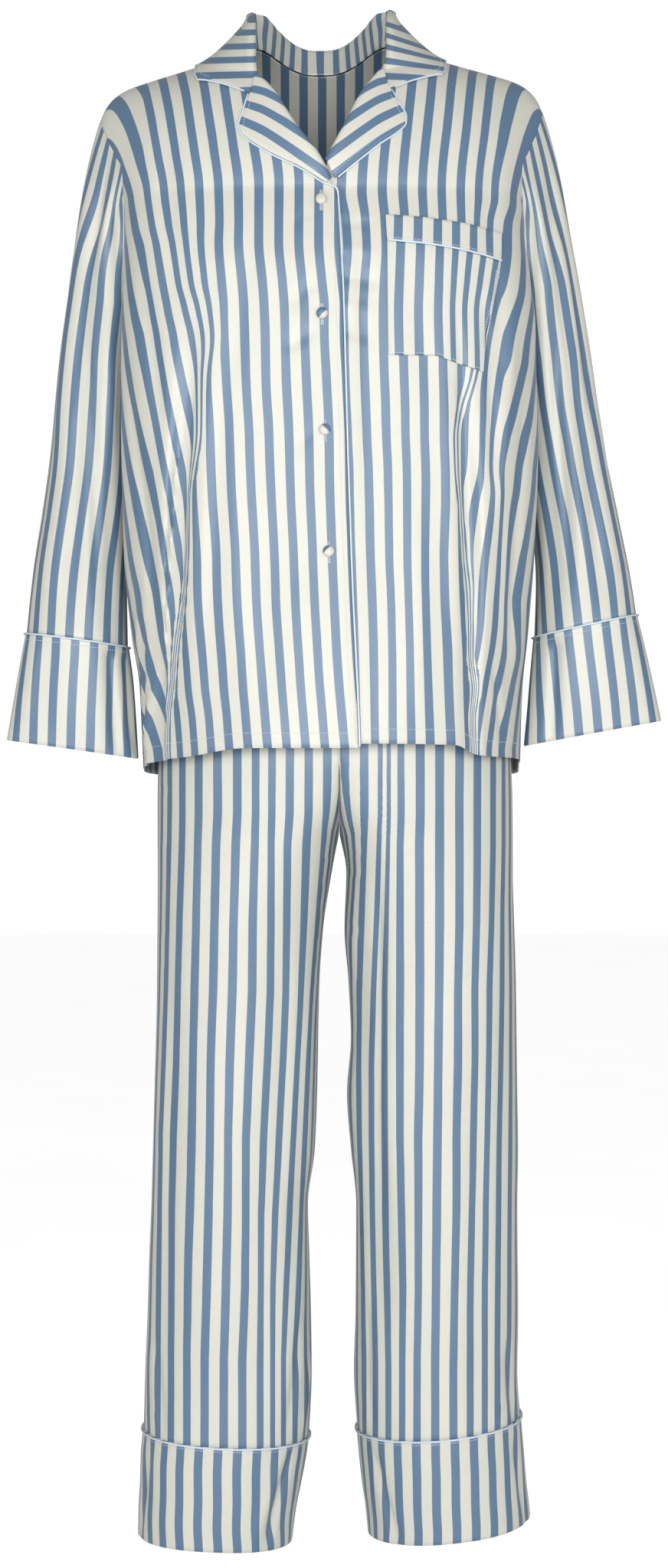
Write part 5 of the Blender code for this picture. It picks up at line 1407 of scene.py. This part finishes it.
class PYJAMA_OT_pocket(bpy.types.Operator):
    """Lay the breast pocket and its band on the left front"""

    bl_idname = "pyjama.pocket"
    bl_label = "Pocket"

    def execute(self, context):
        across, down = np.meshgrid(np.linspace(0, 1, 52), np.linspace(0, 1, 52))
        u, v = pocket_place(across, down)
        points = on_body(1, u, v + POCKET_BOW * np.sin(math.pi * across) * (1 - down), POCKET_LIFT)
        piece = shell("shirt_pocket", points, 0.0012, pocket_stripe(POCKET_STRIPES, u, v), v)
        place(piece, "pocket")
        across, down = np.meshgrid(np.linspace(0, 1, 54), np.linspace(0, 1, 12))
        u, v = band_place(across, down)
        points = on_body(1, u, v, BAND_LIFT)
        across = pocket_stripe(BAND_STRIPES, u, v)
        piece = shell("shirt_pocket_band", points, 0.0017, across, v)
        place(piece, "pocket_band")
        return {"FINISHED"}


class PYJAMA_OT_buttons(bpy.types.Operator):
    """Make the four cloth-covered buttons"""

    bl_idname = "pyjama.buttons"
    bl_label = "Buttons"

    def execute(self, context):
        trim = context.scene.pyjama_trim
        sides = 28
        turn = 2 * math.pi * np.arange(sides)[:, None] / sides
        for k, (v, cloth) in enumerate(zip(BUTTON_V, BUTTON_CLOTH)):
            base, tip = (on_body(-1, 0.0, v, lift) for lift in (0.0004, 0.0014))
            n = unit(tip - base)
            a = unit(np.cross(n, (0.0, 0.0, 1.0)))
            b = np.cross(n, a)
            way = np.cos(turn) * a + np.sin(turn) * b
            work = bmesh.new()
            layer = work.loops.layers.uv.new("cloth")
            rings = []
            for r, h in BUTTON_PROFILE:
                loop = base + n * h * trim.dome + r * trim.button * way
                rings.append([work.verts.new(spot) for spot in loop])
            cap = work.verts.new(base + n * trim.dome)
            for low, high in zip(rings, rings[1:]):
                for j in range(sides):
                    m = (j + 1) % sides
                    work.faces.new((low[j], low[m], high[m], high[j]))
            for j in range(sides):
                work.faces.new((rings[-1][j], rings[-1][(j + 1) % sides], cap))
            work.faces.new(rings[0][::-1])
            bmesh.ops.recalc_face_normals(work, faces=work.faces)
            for face in work.faces:
                face.smooth = True
                for corner in face.loops:
                    d = np.array(corner.vert.co) - base
                    x, z = float(d @ a), float(d @ b)
                    corner[layer].uv = (-x * cloth[0] - z * cloth[1] + cloth[2], z)
            mesh = bpy.data.meshes.new(f"cloth_button_{k + 1}")
            work.to_mesh(mesh)
            work.free()
            mesh.materials.append(striped_satin())
            place(add_object(f"cloth_button_{k + 1}", mesh), f"button_{k + 1}", "covered_button")
        return {"FINISHED"}


# ---------------------------------------------------------------- trousers

WAIST_Z = -0.430
CROTCH_Z = -0.7310
FORK_X = 0.0050
LEG_SEAM = 0.0004
HIP = table(("z", "right", "left", "front", "back"), (
    (-4300, 1360, 1360, 980, 1000), (-5000, 1510, 1520, 1060, 1120), (-5800, 1620, 1640, 1120, 1220),
    (-6500, 1680, 1690, 1120, 1240), (-7000, 1690, 1710, 1070, 1200), (-7310, 1690, 1713, 1010, 1150),
))
LEG_NAMES = ("z", "outer", "inner", "front", "back")
LEG = tables(LEG_NAMES, {
    -1: (
        (-7310, -1690, 47, 1010, 1150), (-7680, -1688, -22, 960, 1080), (-8210, -1691, -103, 910, 1010),
        (-8740, -1695, -140, 870, 960), (-9800, -1721, -162, 830, 890), (-10330, -1735, -184, 810, 860),
        (-10860, -1750, -250, 800, 840), (-11390, -1772, -235, 790, 820), (-11920, -1787, -220, 790, 810),
        (-12450, -1809, -213, 790, 800), (-12980, -1824, -235, 800, 800), (-13240, -1846, -265, 800, 800),
        (-13510, -1853, -316, 800, 790), (-13770, -1868, -368, 800, 780), (-14100, -1872, -410, 790, 770),
    ),
    1: (
        (-7310, 1713, 53, 1010, 1150), (-7680, 1713, 118, 960, 1080), (-8210, 1728, 100, 910, 1010),
        (-8740, 1743, 140, 870, 960), (-9270, 1750, 162, 850, 920), (-9800, 1757, 125, 830, 890),
        (-10330, 1765, 162, 810, 860), (-10860, 1757, 213, 800, 840), (-11920, 1765, 206, 790, 810),
        (-12450, 1757, 191, 790, 800), (-12980, 1794, 221, 800, 800), (-13240, 1816, 243, 800, 800),
        (-13510, 1838, 272, 800, 790), (-13770, 1868, 309, 800, 780), (-14100, 1890, 340, 790, 770),
    ),
})
FORK = {
    -1: smooth((-0.66, -0.69, -0.71, -0.724, -0.731), (0.112, 0.094, 0.066, 0.030, LEG_SEAM / 2)),
    1: smooth((-0.62, -0.66, -0.69, -0.714, -0.731), (0.122, 0.113, 0.092, 0.050, LEG_SEAM / 2)),
}
CUFF_SEAM = {-1: (-1.299, -1.304, -1.3065, -1.303), 1: (-1.286, -1.2965, -1.300, -1.296)}
FOOT = {-1: (-1.399, -1.401, -1.406, -1.403), 1: (-1.382, -1.393, -1.399, -1.394)}
LEG_FOLDS = {
    -1: ((0.66, 0.62, -0.80, -1.30, -0.0030, 0.08), (0.30, 0.26, -0.86, -1.30, -0.0030, 0.08)),
    1: ((0.80, 0.74, -0.76, -1.22, -0.0070, 0.08), (0.36, 0.34, -0.90, -1.32, -0.0030, 0.08)),
}
# creases of the legs, by distance from the side seam and height
LEG_CREASES = fine({
    (-1, -1): (
        (1800, -7800, 1720, -11000, 20, -16, 90), (600, -8000, 520, -12800, 30, -18, 100),
        (2150, -8200, 1960, -12900, 40, 18, 100), (1200, -9500, 1120, -12900, 20, 12, 140),
        (2050, -11800, 1900, -13100, 10, -26, 60), (400, -12000, 680, -13100, 10, -24, 65),
        (2320, -12200, 2140, -13100, 10, 20, 55),
    ),
    (1, -1): (
        (1940, -7200, 1860, -11200, 20, -34, 50), (1780, -7400, 1700, -11400, 20, 18, 80),
        (600, -8600, 560, -12800, 20, -14, 120), (1100, -9500, 1060, -12900, 20, 12, 140),
        (2060, -11600, 1960, -13100, 10, -24, 65), (520, -12000, 360, -13100, 10, -22, 65),
    ),
    (-1, 1): (
        (700, -7000, 600, -12800, 40, -26, 110), (1300, -6600, 1200, -12000, 30, 22, 120),
        (1800, -8000, 1650, -13000, 30, -26, 100), (2150, -11000, 2000, -13100, 20, 20, 80),
    ),
    (1, 1): (
        (660, -7200, 580, -12600, 40, -26, 110), (1250, -6400, 1180, -12200, 30, 22, 120),
        (1850, -7800, 1680, -13000, 30, -26, 100), (2120, -10800, 2020, -13100, 20, 20, 80),
    ),
})
LEG_CUFF_CREASES = fine({
    -1: (
        (2050, -13000, 1760, -14100, 0, -40, 50), (1900, -13100, 1600, -14100, 0, 20, 60),
        (480, -13000, 300, -14100, 0, -26, 60), (1100, -13000, 1120, -14100, 0, -10, 120),
        (-900, -13000, -950, -14100, 0, -20, 120),
    ),
    1: (
        (2050, -13000, 1780, -14100, 0, -34, 50), (500, -12900, 340, -14000, 0, -24, 60),
        (1200, -13000, 1220, -14100, 0, -10, 120), (-900, -13000, -950, -14100, 0, -20, 120),
    ),
})


def leg_line(side, face, q, z):
    """Half of a leg's outline, x and depth, from the side seam (q = 0) to the inner seam (q = 1)."""
    q, z = pair(q, z)
    depth = "back" if face > 0 else "front"
    word = "left" if side > 0 else "right"
    leg, above = LEG[side], z > CROTCH_Z
    outer = np.where(above, side * HIP[word](z), leg["outer"](z))
    deep = np.where(above, HIP[depth](z), leg[depth](z))
    inner = np.where(above, FORK_X + side * LEG_SEAM / 2, leg["inner"](z))
    inner_y = np.where(above, np.minimum(FORK[face](z), deep), LEG_SEAM / 2)
    blend = step((-0.60 - z) / 0.24)
    crest = FORK_X + ((outer + leg["inner"](z)) / 2 - FORK_X) * blend
    crest = np.where(side * (crest - inner) < 0, inner, crest)
    split = 1 - 0.5 * blend
    first = q <= split
    a = np.clip(q / split, 0, 1) * math.pi / 2
    b = np.clip((q - split) / (1 - split + 1e-9), 0, 1) * math.pi / 2
    e = 2 / RING_SQUARE
    xa = crest + (outer - crest) * np.cos(a) ** e
    ya = deep * np.sin(a) ** e
    xb = crest + (inner - crest) * np.sin(b) ** e
    yb = inner_y + (deep - inner_y) * np.cos(b) ** e
    return np.where(first, xa, xb), np.maximum(np.where(first, ya, yb), LEG_SEAM / 2)


def leg_map(side, face):
    """leg_line read at even distances, so that the cloth isn't stretched where the fork begins."""
    lines = []
    for z in LEG_LEVELS:
        x, y = leg_line(side, face, np.linspace(0, 1, 900), np.full(900, z))
        lines.append((lengths(np.stack((x, y), -1)), x, y))
    full = np.array([along[-1] for along, _, _ in lines])
    high, low = (np.interp(z, LEG_LEVELS, full) for z in (-0.60, -0.92))
    calm = high + (low - high) * step((-0.60 - LEG_LEVELS) / 0.32)
    calm = np.where((LEG_LEVELS > -0.60) | (LEG_LEVELS < -0.92), full, calm)
    xs, ys = [], []
    for (along, x, y), even in zip(lines, calm):
        marks = LEG_SHARES * even + (along[-1] - even) * LEG_SHARES**5
        xs.append(np.interp(marks, along, x))
        ys.append(np.interp(marks, along, y))
    return np.array(xs), np.array(ys)


LEG_LEVELS, LEG_SHARES = np.linspace(-1.415, WAIST_Z, 395), np.linspace(0, 1, 241)
LEG_MAPS = {(side, face): leg_map(side, face) for side in (-1, 1) for face in (-1, 1)}


def leg_point(side, face, q, z):
    q, z = pair(q, z)
    xs, ys = LEG_MAPS[(side, face)]
    place = cells(q, LEG_SHARES), cells(z, LEG_LEVELS)
    x, y = read_grid(xs, *place), read_grid(ys, *place)
    if face < 0:
        push = np.zeros_like(q)
        for top, low, z0, z1, dip, wide in LEG_FOLDS[side]:
            middle = top + (low - top) * np.clip((z - z0) / (z1 - z0), 0, 1)
            grow = step((z0 - z) / 0.10) * step((z - z1 + 0.02) / 0.10)
            push = push + dip * grow * np.exp(-(((q - middle) / wide) ** 2))
        y = np.maximum(y + push * step(y / 0.03), LEG_SEAM / 2)
    return np.stack((x, face * y, z), -1)


def around(heights, face, q):
    """Height of a seam round a leg, from its outer side (q = 0) to its inner side (q = 1)."""
    outer, front, inner, back = heights
    middle = back if face > 0 else front
    half = np.sin(step(q) * math.pi)
    base = outer + (inner - outer) * step(q)
    return base + (middle - (outer + inner) / 2) * half


def leg_panel(side, face, columns, rows):
    q = np.linspace(0, 1, columns)
    end = around(CUFF_SEAM[side], face, q)
    top = WAIST_Z - LEG_SEAM
    z = top + (end[None] + LEG_SEAM / 2 - top) * np.linspace(0, 1, rows)[:, None]
    points = leg_point(side, face, q[None], z)
    core = points.copy()
    core[..., 0], core[..., 1] = side * 0.085, 0.0
    run = lengths(points)
    lift = strokes(LEG_CREASES[(side, face)], run, z) * step(q / 0.06) * step((1 - q) / 0.06)
    n = facing(points, False, core)
    return points + n * lift[..., None], core, run, z


def leg_ring(side, heights, count, grow):
    half = count // 2
    q = np.linspace(0, 1, half + 1)
    front = leg_point(side, -1, q, around(heights, -1, q))
    back = leg_point(side, 1, q, around(heights, 1, q))
    points = np.concatenate((front, back[1:-1][::-1]))
    points[0, 1] = points[half, 1] = 0.0
    t = np.roll(points, -1, axis=0) - np.roll(points, 1, axis=0)
    n = unit(np.stack((t[:, 1], -t[:, 0], np.zeros(len(t))), -1))
    n *= np.sign(np.sum(n * (points - points.mean(axis=0)), axis=1, keepdims=True))
    return points + n * grow


def leg_cuff_points(side, count=130, levels=30):
    top, foot = CUFF_SEAM[side], FOOT[side]
    rows = []
    for share in np.linspace(0, 1, levels):
        heights = tuple(a - LEG_SEAM + (b - a + LEG_SEAM) * share for a, b in zip(top, foot))
        rows.append(leg_ring(side, heights, count, 0.0006))
    calm = step(np.linspace(0, 1, levels) / 0.12)[:, None]
    return creased(np.array(rows), count // 2, LEG_CUFF_CREASES[side], calm), count // 2


# where the middle of each blue band lies across a leg's front, by height, first to last from right to left
LEG_STRIPES = fine({
    -1: (
        (-7090, -1581, -1456, -1301, -1118, -926, -750, -596, -426, -243, -66),
        (-7400, -1588, -1463, -1309, -1132, -941, -757, -603, -449, -265, -88),
        (-8090, -1603, -1485, -1324, -1147, -963, -779, -603, -456, -287, -147),
        (-8780, -1618, -1500, -1338, -1162, -978, -787, -610, -463, -316, -206),
        (-9460, -1640, -1515, -1353, -1184, -1000, -816, -640, -493, -353, -250),
        (-10150, -1669, -1544, -1368, -1191, -1015, -846, -676, -529, -390, -279),
        (-10840, -1676, -1559, -1382, -1206, -1022, -846, -699, -566, -426, -309),
        (-11520, -1684, -1559, -1404, -1221, -1037, -853, -699, -588, -456, -338),
        (-12210, -1691, -1566, -1412, -1243, -1059, -882, -706, -588, -485, -375),
    ),
    1: (
        (-7090, 294, 449, 522, 640, 831, 1015, 1206, 1375, 1529, 1632),
        (-7400, 279, 434, 515, 632, 824, 1015, 1206, 1375, 1529, 1632),
        (-8090, 257, 412, 500, 632, 824, 1015, 1206, 1368, 1515, 1618),
        (-8780, 235, 382, 485, 632, 824, 1007, 1191, 1353, 1493, 1618),
        (-9460, 235, 360, 485, 632, 824, 1000, 1191, 1353, 1485, 1603),
        (-10150, 243, 360, 485, 632, 809, 993, 1176, 1338, 1471, 1588),
        (-10840, 257, 368, 493, 647, 809, 985, 1176, 1324, 1456, 1581),
        (-11520, 272, 382, 507, 662, 809, 978, 1162, 1309, 1449, 1574),
        (-12210, 287, 397, 522, 654, 794, 971, 1147, 1309, 1449, 1566),
    ),
})
# the places are read in the plane y = 0 from this far away
SIGHT = 3.0


def leg_stripe(side, points, run, cloth):
    """Place across the stripes of a leg's front; round the sides it follows the cloth."""
    rows = np.array(LEG_STRIPES[side])[::-1]
    count = np.arange(rows.shape[1] - 1)
    across = np.empty(run.shape)
    for k, row in enumerate(points):
        height = row[:, 2].mean()
        spots = np.array([np.interp(height, rows[:, 0], rows[:, n + 1]) for n in count])
        seen = row[:, 0] / (1 + row[:, 1] / SIGHT)
        inside = np.flatnonzero((seen >= spots[0]) & (seen <= spots[-1]))
        first, last = inside[0], inside[-1]
        band = smooth(spots, count)(seen) * cloth.pitch + cloth.blue_width / 2
        way = np.sign(band[last] - band[first])
        band[:first] = band[first] + way * (run[k, :first] - run[k, first])
        band[last + 1:] = band[last] + way * (run[k, last + 1:] - run[k, last])
        across[k] = band
    return across


class PYJAMA_OT_trousers(bpy.types.Operator):
    """Cut and drape the trouser legs, their cuffs and the waistband"""

    bl_idname = "pyjama.trousers"
    bl_label = "Trousers"

    def execute(self, context):
        cloth = context.scene.pyjama_cloth
        for word, side in HANDS:
            for part, face in (("front", -1), ("back", 1)):
                points, core, run, z = leg_panel(side, face, 76, round(0.87 / cloth.cell / 1.5))
                across = leg_stripe(side, points, run, cloth) if face < 0 else run + 0.003
                piece = shell(f"leg_{part}_{word}", points, cloth.wall, across, z, core=core)
                place(piece, f"trouser_{part}_{word}")
            points, half = leg_cuff_points(side)
            piece = tube_shell(f"leg_cuff_{word}", points, cloth.double, half, LEG_CUFF_START[side])
            place(piece, f"trouser_cuff_{word}")
        turn = np.linspace(0, 2 * math.pi, 220, endpoint=False)
        rows = []
        a, b = rounded_square(turn)
        for rise in np.linspace(0, 1, 16):
            z = WAIST_Z + LEG_SEAM / 2 + 0.035 * rise
            x, y = a * (0.136 - 0.10 * (z - WAIST_Z)), b * (0.098 - 0.08 * (z - WAIST_Z))
            gather = 1 + 0.006 * np.sin(turn * 62 + 0.8 * np.sin(turn * 5)) * math.sin(math.pi * rise)
            rows.append(np.stack((x * gather, y * gather, np.full(len(turn), z)), -1))
        points = np.array(rows)
        piece = tube_shell("trouser_waist", points, 0.0025, len(turn) // 2)
        place(piece, "waistband")
        return {"FINISHED"}


# ---------------------------------------------------------------- piping and stitching

# heights over the cloth, distances from an edge and gaps between the points of a path
THREAD_LIFT, HEM_RISE, EDGE_IN, LAPEL_IN, COLLAR_IN = 0.0002, 0.0135, 0.0052, 0.0032, 0.0034
PIPE_SINK, PIPE_OUT, PIPE_RISE, PIPE_LOW = 0.0008, 0.0007, 0.0005, -0.0007
PIPE_STEP, SEW_STEP, PIPE_TURN = 0.0028, 0.004, 140
STITCH_SHARE = 0.74


def offset_line(line, inside, shift):
    """A line on the cloth, moved by shift away from the points of another line."""
    off = square_to(np.gradient(line, axis=0))
    off *= np.sign(np.sum(off * (line - inside)))
    return line + off * shift


def lapel_edge(side, shift, rise, last=0.975):
    share = np.linspace(0, last, 90)
    t = LAPEL[side]
    line = offset_line(line_of(t, share, "edge"), line_of(t, share, "roll"), shift)
    return on_body(side, line[:, 0], line[:, 1], rise)


def front_edge(shift, rise, top=-0.130, foot=-0.6485):
    v = np.linspace(top, foot, 150)
    return on_body(-1, EDGE_RIGHT(v) - shift, v, rise)


def collar_edge(side, shift, rise):
    """The collar's border: along the notch, round the corner and along the outer edge to the centre back."""
    spot = collar_half(side, np.linspace(0, 1, 81), 12)[1]
    front, outer = spot[0, 4:], spot[:, -1]
    front = np.concatenate((front[:1] + (front[1:2] - front[:1]) * 0.35, front[1:]))
    a = offset_line(front, spot[3, 4:], shift)
    b = offset_line(outer, spot[:, -3], shift)
    corner = (a[-1] + b[0]) / 2 + (a[-1] - front[-1]) * 0.35 + (b[0] - outer[0]) * 0.35
    line = np.concatenate((a[:-1], corner[None], b[1:]))
    return on_body(side, np.maximum(line[:, 0], 0), line[:, 1], rise)


def evened(path, gap):
    """A path with its points at even distances."""
    along = lengths(path)
    marks = np.linspace(0, along[-1], max(3, round(along[-1] / gap)))
    return np.stack([np.interp(marks, along, path[:, k]) for k in range(3)], -1)


class PYJAMA_OT_piping(bpy.types.Operator):
    """Run the satin piping round the collar, lapels, front edge, pocket and cuffs"""

    bl_idname = "pyjama.piping"
    bl_label = "Piping"

    def execute(self, context):
        trim = context.scene.pyjama_trim
        r = trim.piping
        shift = r + PIPE_OUT
        right, left = collar_edge(-1, shift, 0.0019), collar_edge(1, shift, 0.0019)
        right[-1, 0] = left[-1, 0] = float(CENTRE_X(0.0))
        jobs = [("collar", "piping_collar", np.concatenate((right, left[:-1][::-1])), False)]
        lapel = lapel_edge(-1, shift, r + PIPE_RISE)[::-1]
        edge = front_edge(shift + 0.0004, PIPE_LOW)
        v = np.linspace(-0.130, -0.137, 8)
        edge[:8] = on_body(-1, EDGE_RIGHT(v) - shift - 0.0004, v, np.linspace(0.0017, PIPE_LOW, 8))
        jobs.append(("front_right", "piping_front_right", np.concatenate((lapel[:-2], edge)), False))
        lapel = lapel_edge(1, shift, r + PIPE_RISE)[2:][::-1]
        jobs.append(("front_left", "piping_front_left", lapel, False))
        u, v = band_place(np.linspace(0, 1, 60), 1.0)
        path = on_body(1, u, v - PIPE_SINK, BAND_LIFT + r + THREAD_LIFT)
        jobs.append(("pocket", "piping_pocket", path, False))
        turn = np.linspace(0, 2 * math.pi, PIPE_TURN, endpoint=False)
        for word, side in HANDS:
            ox, oz, ix, iz, y, deep = CUFF[side][0]
            grow = (r + 0.0004) * side
            loop = ring((ox + grow, oz - 0.0005, ix - grow, iz - 0.0005, y, deep + abs(grow)), turn)
            jobs.append((f"cuff_{word}", f"piping_cuff_{word}", loop, True))
            loop = leg_ring(side, tuple(a - PIPE_SINK for a in CUFF_SEAM[side]), PIPE_TURN, PIPE_SINK + r)
            jobs.append((f"leg_{word}", f"piping_leg_{word}", loop, True))
        for word, node, path, closed in jobs:
            path = path if closed else evened(path, PIPE_STEP)
            sizes = {"radius": r, "material": piping_satin()}
            piece = along_paths(f"trim_{word}", [path], [closed], cord_tree, **sizes)
            place(piece, node, "piping_satin")
        return {"FINISHED"}


def raised(points):
    return points + facing(points, True) * THREAD_LIFT


class PYJAMA_OT_stitches(bpy.types.Operator):
    """Sew the hems, pocket, cuffs, edges and buttonholes"""

    bl_idname = "pyjama.stitches"
    bl_label = "Stitching"

    def execute(self, context):
        trim = context.scene.pyjama_trim
        shirt, shirt_closed = [], []

        def add(path, closed=False):
            shirt.append(path if closed else evened(path, SEW_STEP))
            shirt_closed.append(closed)

        for side in (-1, 1):
            # the left front's hem shows only past the edge of the right front
            start = float(EDGE[side](-0.64)) + 0.002 if side < 0 else 0.026
            u = np.linspace(start, float(seam_u(side, -1, -0.64)) - 0.002, 160)
            v = low_row(HEM[side], HEM_RISE, u)
            add(on_body(side, u, v, sink(side, u, v) + THREAD_LIFT))
        add(front_edge(-EDGE_IN, THREAD_LIFT, -0.136, -0.645))
        for side in (-1, 1):
            add(lapel_edge(side, -LAPEL_IN, LAPEL_LIFT + 2 * THREAD_LIFT, 0.93))
            add(collar_edge(side, -COLLAR_IN, COLLAR_LIFT + 2 * THREAD_LIFT)[10:])
        whole, down = np.linspace(0.02, 0.98, 60), np.linspace(0.10, 0.985, 60)
        low = np.linspace(0.06, 0.94, 20)
        for spot, lift, across, drop in (
            (band_place, BAND_LIFT, whole, 0.90),
            (pocket_place, POCKET_LIFT, 0.022, down), (band_place, BAND_LIFT, 0.022, low),
            (pocket_place, POCKET_LIFT, 0.975, down), (band_place, BAND_LIFT, 0.975, low),
            (pocket_place, POCKET_LIFT, whole, 0.985),
        ):
            add(on_body(1, *spot(*pair(across, drop)), lift + THREAD_LIFT))
        for side in (-1, 1):
            add(raised(cuff_points(side)[0])[2], True)
        rings = [raised(leg_cuff_points(side)[0])[1] for side in (-1, 1)]
        holes = [
            on_body(-1, off, np.linspace(v - 0.0105, v + 0.0085, 20), THREAD_LIFT)
            for v in BUTTON_V for off in (-0.0008, 0.0008)
        ]
        seam = {"spacing": trim.stitch, "length": trim.stitch * STITCH_SHARE, "radius": trim.thread}
        close = {"spacing": 0.0007, "length": 0.0009, "radius": 0.0006}
        for name, paths, closed, sizes in (
            ("shirt_stitches", shirt, shirt_closed, seam),
            ("trouser_stitches", rings, [True, True], seam),
            ("buttonholes", holes, [False] * len(holes), close),
        ):
            piece = along_paths(name, paths, closed, stitch_tree, material=sewing_thread(), **sizes)
            place(piece, None, "piping_satin")
        return {"FINISHED"}


# ---------------------------------------------------------------- studio

class PYJAMA_OT_studio(bpy.types.Operator):
    """Set the plain floor, the soft lights and the camera"""

    bl_idname = "pyjama.studio"
    bl_label = "Studio"

    def execute(self, context):
        studio = context.scene.pyjama_studio
        work = bmesh.new()
        bmesh.ops.create_circle(work, cap_ends=True, segments=96, radius=14.0)
        bmesh.ops.translate(work, verts=work.verts, vec=(0, 0, studio.floor))
        mesh = bpy.data.meshes.new("floor")
        work.to_mesh(mesh)
        work.free()
        floor = add_object("floor", mesh)
        material, nodes = blank_material("pale floor")
        grain = object_grain(nodes, 3.0, 2.0)
        colour = mix_colour(nodes, grain, (0.90, 0.90, 0.90, 1), (0.94, 0.94, 0.94, 1))
        seen = nodes.node("ShaderNodeLightPath")["Is Camera Ray"]
        finish_material(nodes, {
            "Base Color": colour, "Roughness": 0.9, "Emission Color": colour,
            "Emission Strength": seen * 0.7,
        })
        mesh.materials.append(material)

        world = bpy.data.worlds.new("white room")
        world.use_nodes = True
        nodes = Nodes(world.node_tree)
        world.node_tree.nodes.clear()
        seen = nodes.node("ShaderNodeLightPath")["Is Camera Ray"]
        strength = seen * (1.05 - studio.sky) + studio.sky
        room = nodes.node("ShaderNodeBackground", {}, {"Color": (1, 1, 1, 1), "Strength": strength})
        out = nodes.node("ShaderNodeOutputWorld")
        nodes.tree.links.new(room.made.outputs[0], out.made.inputs["Surface"])
        context.scene.world = world
        context.scene.view_settings.view_transform = "Standard"

        def soft_light(name, spot, target, size, power):
            light = bpy.data.lights.new(name, "AREA")
            light.shape, light.size, light.size_y, light.energy = "RECTANGLE", size[0], size[1], power
            item = add_object(name, light)
            item.location = spot
            item.rotation_euler = (Vector(target) - Vector(spot)).to_track_quat("-Z", "Y").to_euler()

        soft_light("key", (0, -3.3, -0.30), (0, 0, -0.42), (2.8, 1.4), studio.key)
        for word, way in HANDS:
            spot, target = (2.7 * way, -2.1, -0.30), (0.22 * way, 0, -0.40)
            soft_light(f"{word} side", spot, target, (1.4, 1.1), studio.side)

        camera = bpy.data.cameras.new("camera")
        camera.sensor_fit, camera.sensor_height, camera.lens = "VERTICAL", 36.0, studio.lens
        camera.clip_end = 100
        item = add_object("camera", camera)
        item.location = (0, -studio.distance, studio.height)
        item.rotation_euler = (math.pi / 2, 0, 0)
        context.scene.camera = item
        return {"FINISHED"}


class PYJAMA_PT_panel(bpy.types.Panel):
    bl_idname = "PYJAMA_PT_panel"
    bl_label = "Pyjama set"
    bl_space_type = "VIEW_3D"
    bl_region_type = "UI"
    bl_category = "Pyjamas"

    def draw(self, context):
        for group in (context.scene.pyjama_cloth, context.scene.pyjama_trim, context.scene.pyjama_studio):
            box = self.layout.box()
            for name in group.__annotations__:
                box.prop(group, name)
        for maker in MAKERS:
            self.layout.operator(maker.bl_idname)


GROUPS = (ClothSettings, TrimSettings, StudioSettings)
MAKERS = (
    PYJAMA_OT_studio, PYJAMA_OT_back, PYJAMA_OT_fronts, PYJAMA_OT_sleeves, PYJAMA_OT_lapels,
    PYJAMA_OT_collar, PYJAMA_OT_pocket, PYJAMA_OT_buttons, PYJAMA_OT_trousers, PYJAMA_OT_piping,
    PYJAMA_OT_stitches,
)


def register():
    for item in (*GROUPS, *MAKERS, PYJAMA_PT_panel):
        bpy.utils.register_class(item)
    bpy.types.Scene.pyjama_cloth = PointerProperty(type=ClothSettings)
    bpy.types.Scene.pyjama_trim = PointerProperty(type=TrimSettings)
    bpy.types.Scene.pyjama_studio = PointerProperty(type=StudioSettings)


def unregister():
    del bpy.types.Scene.pyjama_studio, bpy.types.Scene.pyjama_trim, bpy.types.Scene.pyjama_cloth
    for item in reversed((*GROUPS, *MAKERS, PYJAMA_PT_panel)):
        bpy.utils.unregister_class(item)


def main():
    register()
    for maker in MAKERS:
        group, name = maker.bl_idname.split(".")
        getattr(getattr(bpy.ops, group), name)()


if __name__ == "__main__":
    main()
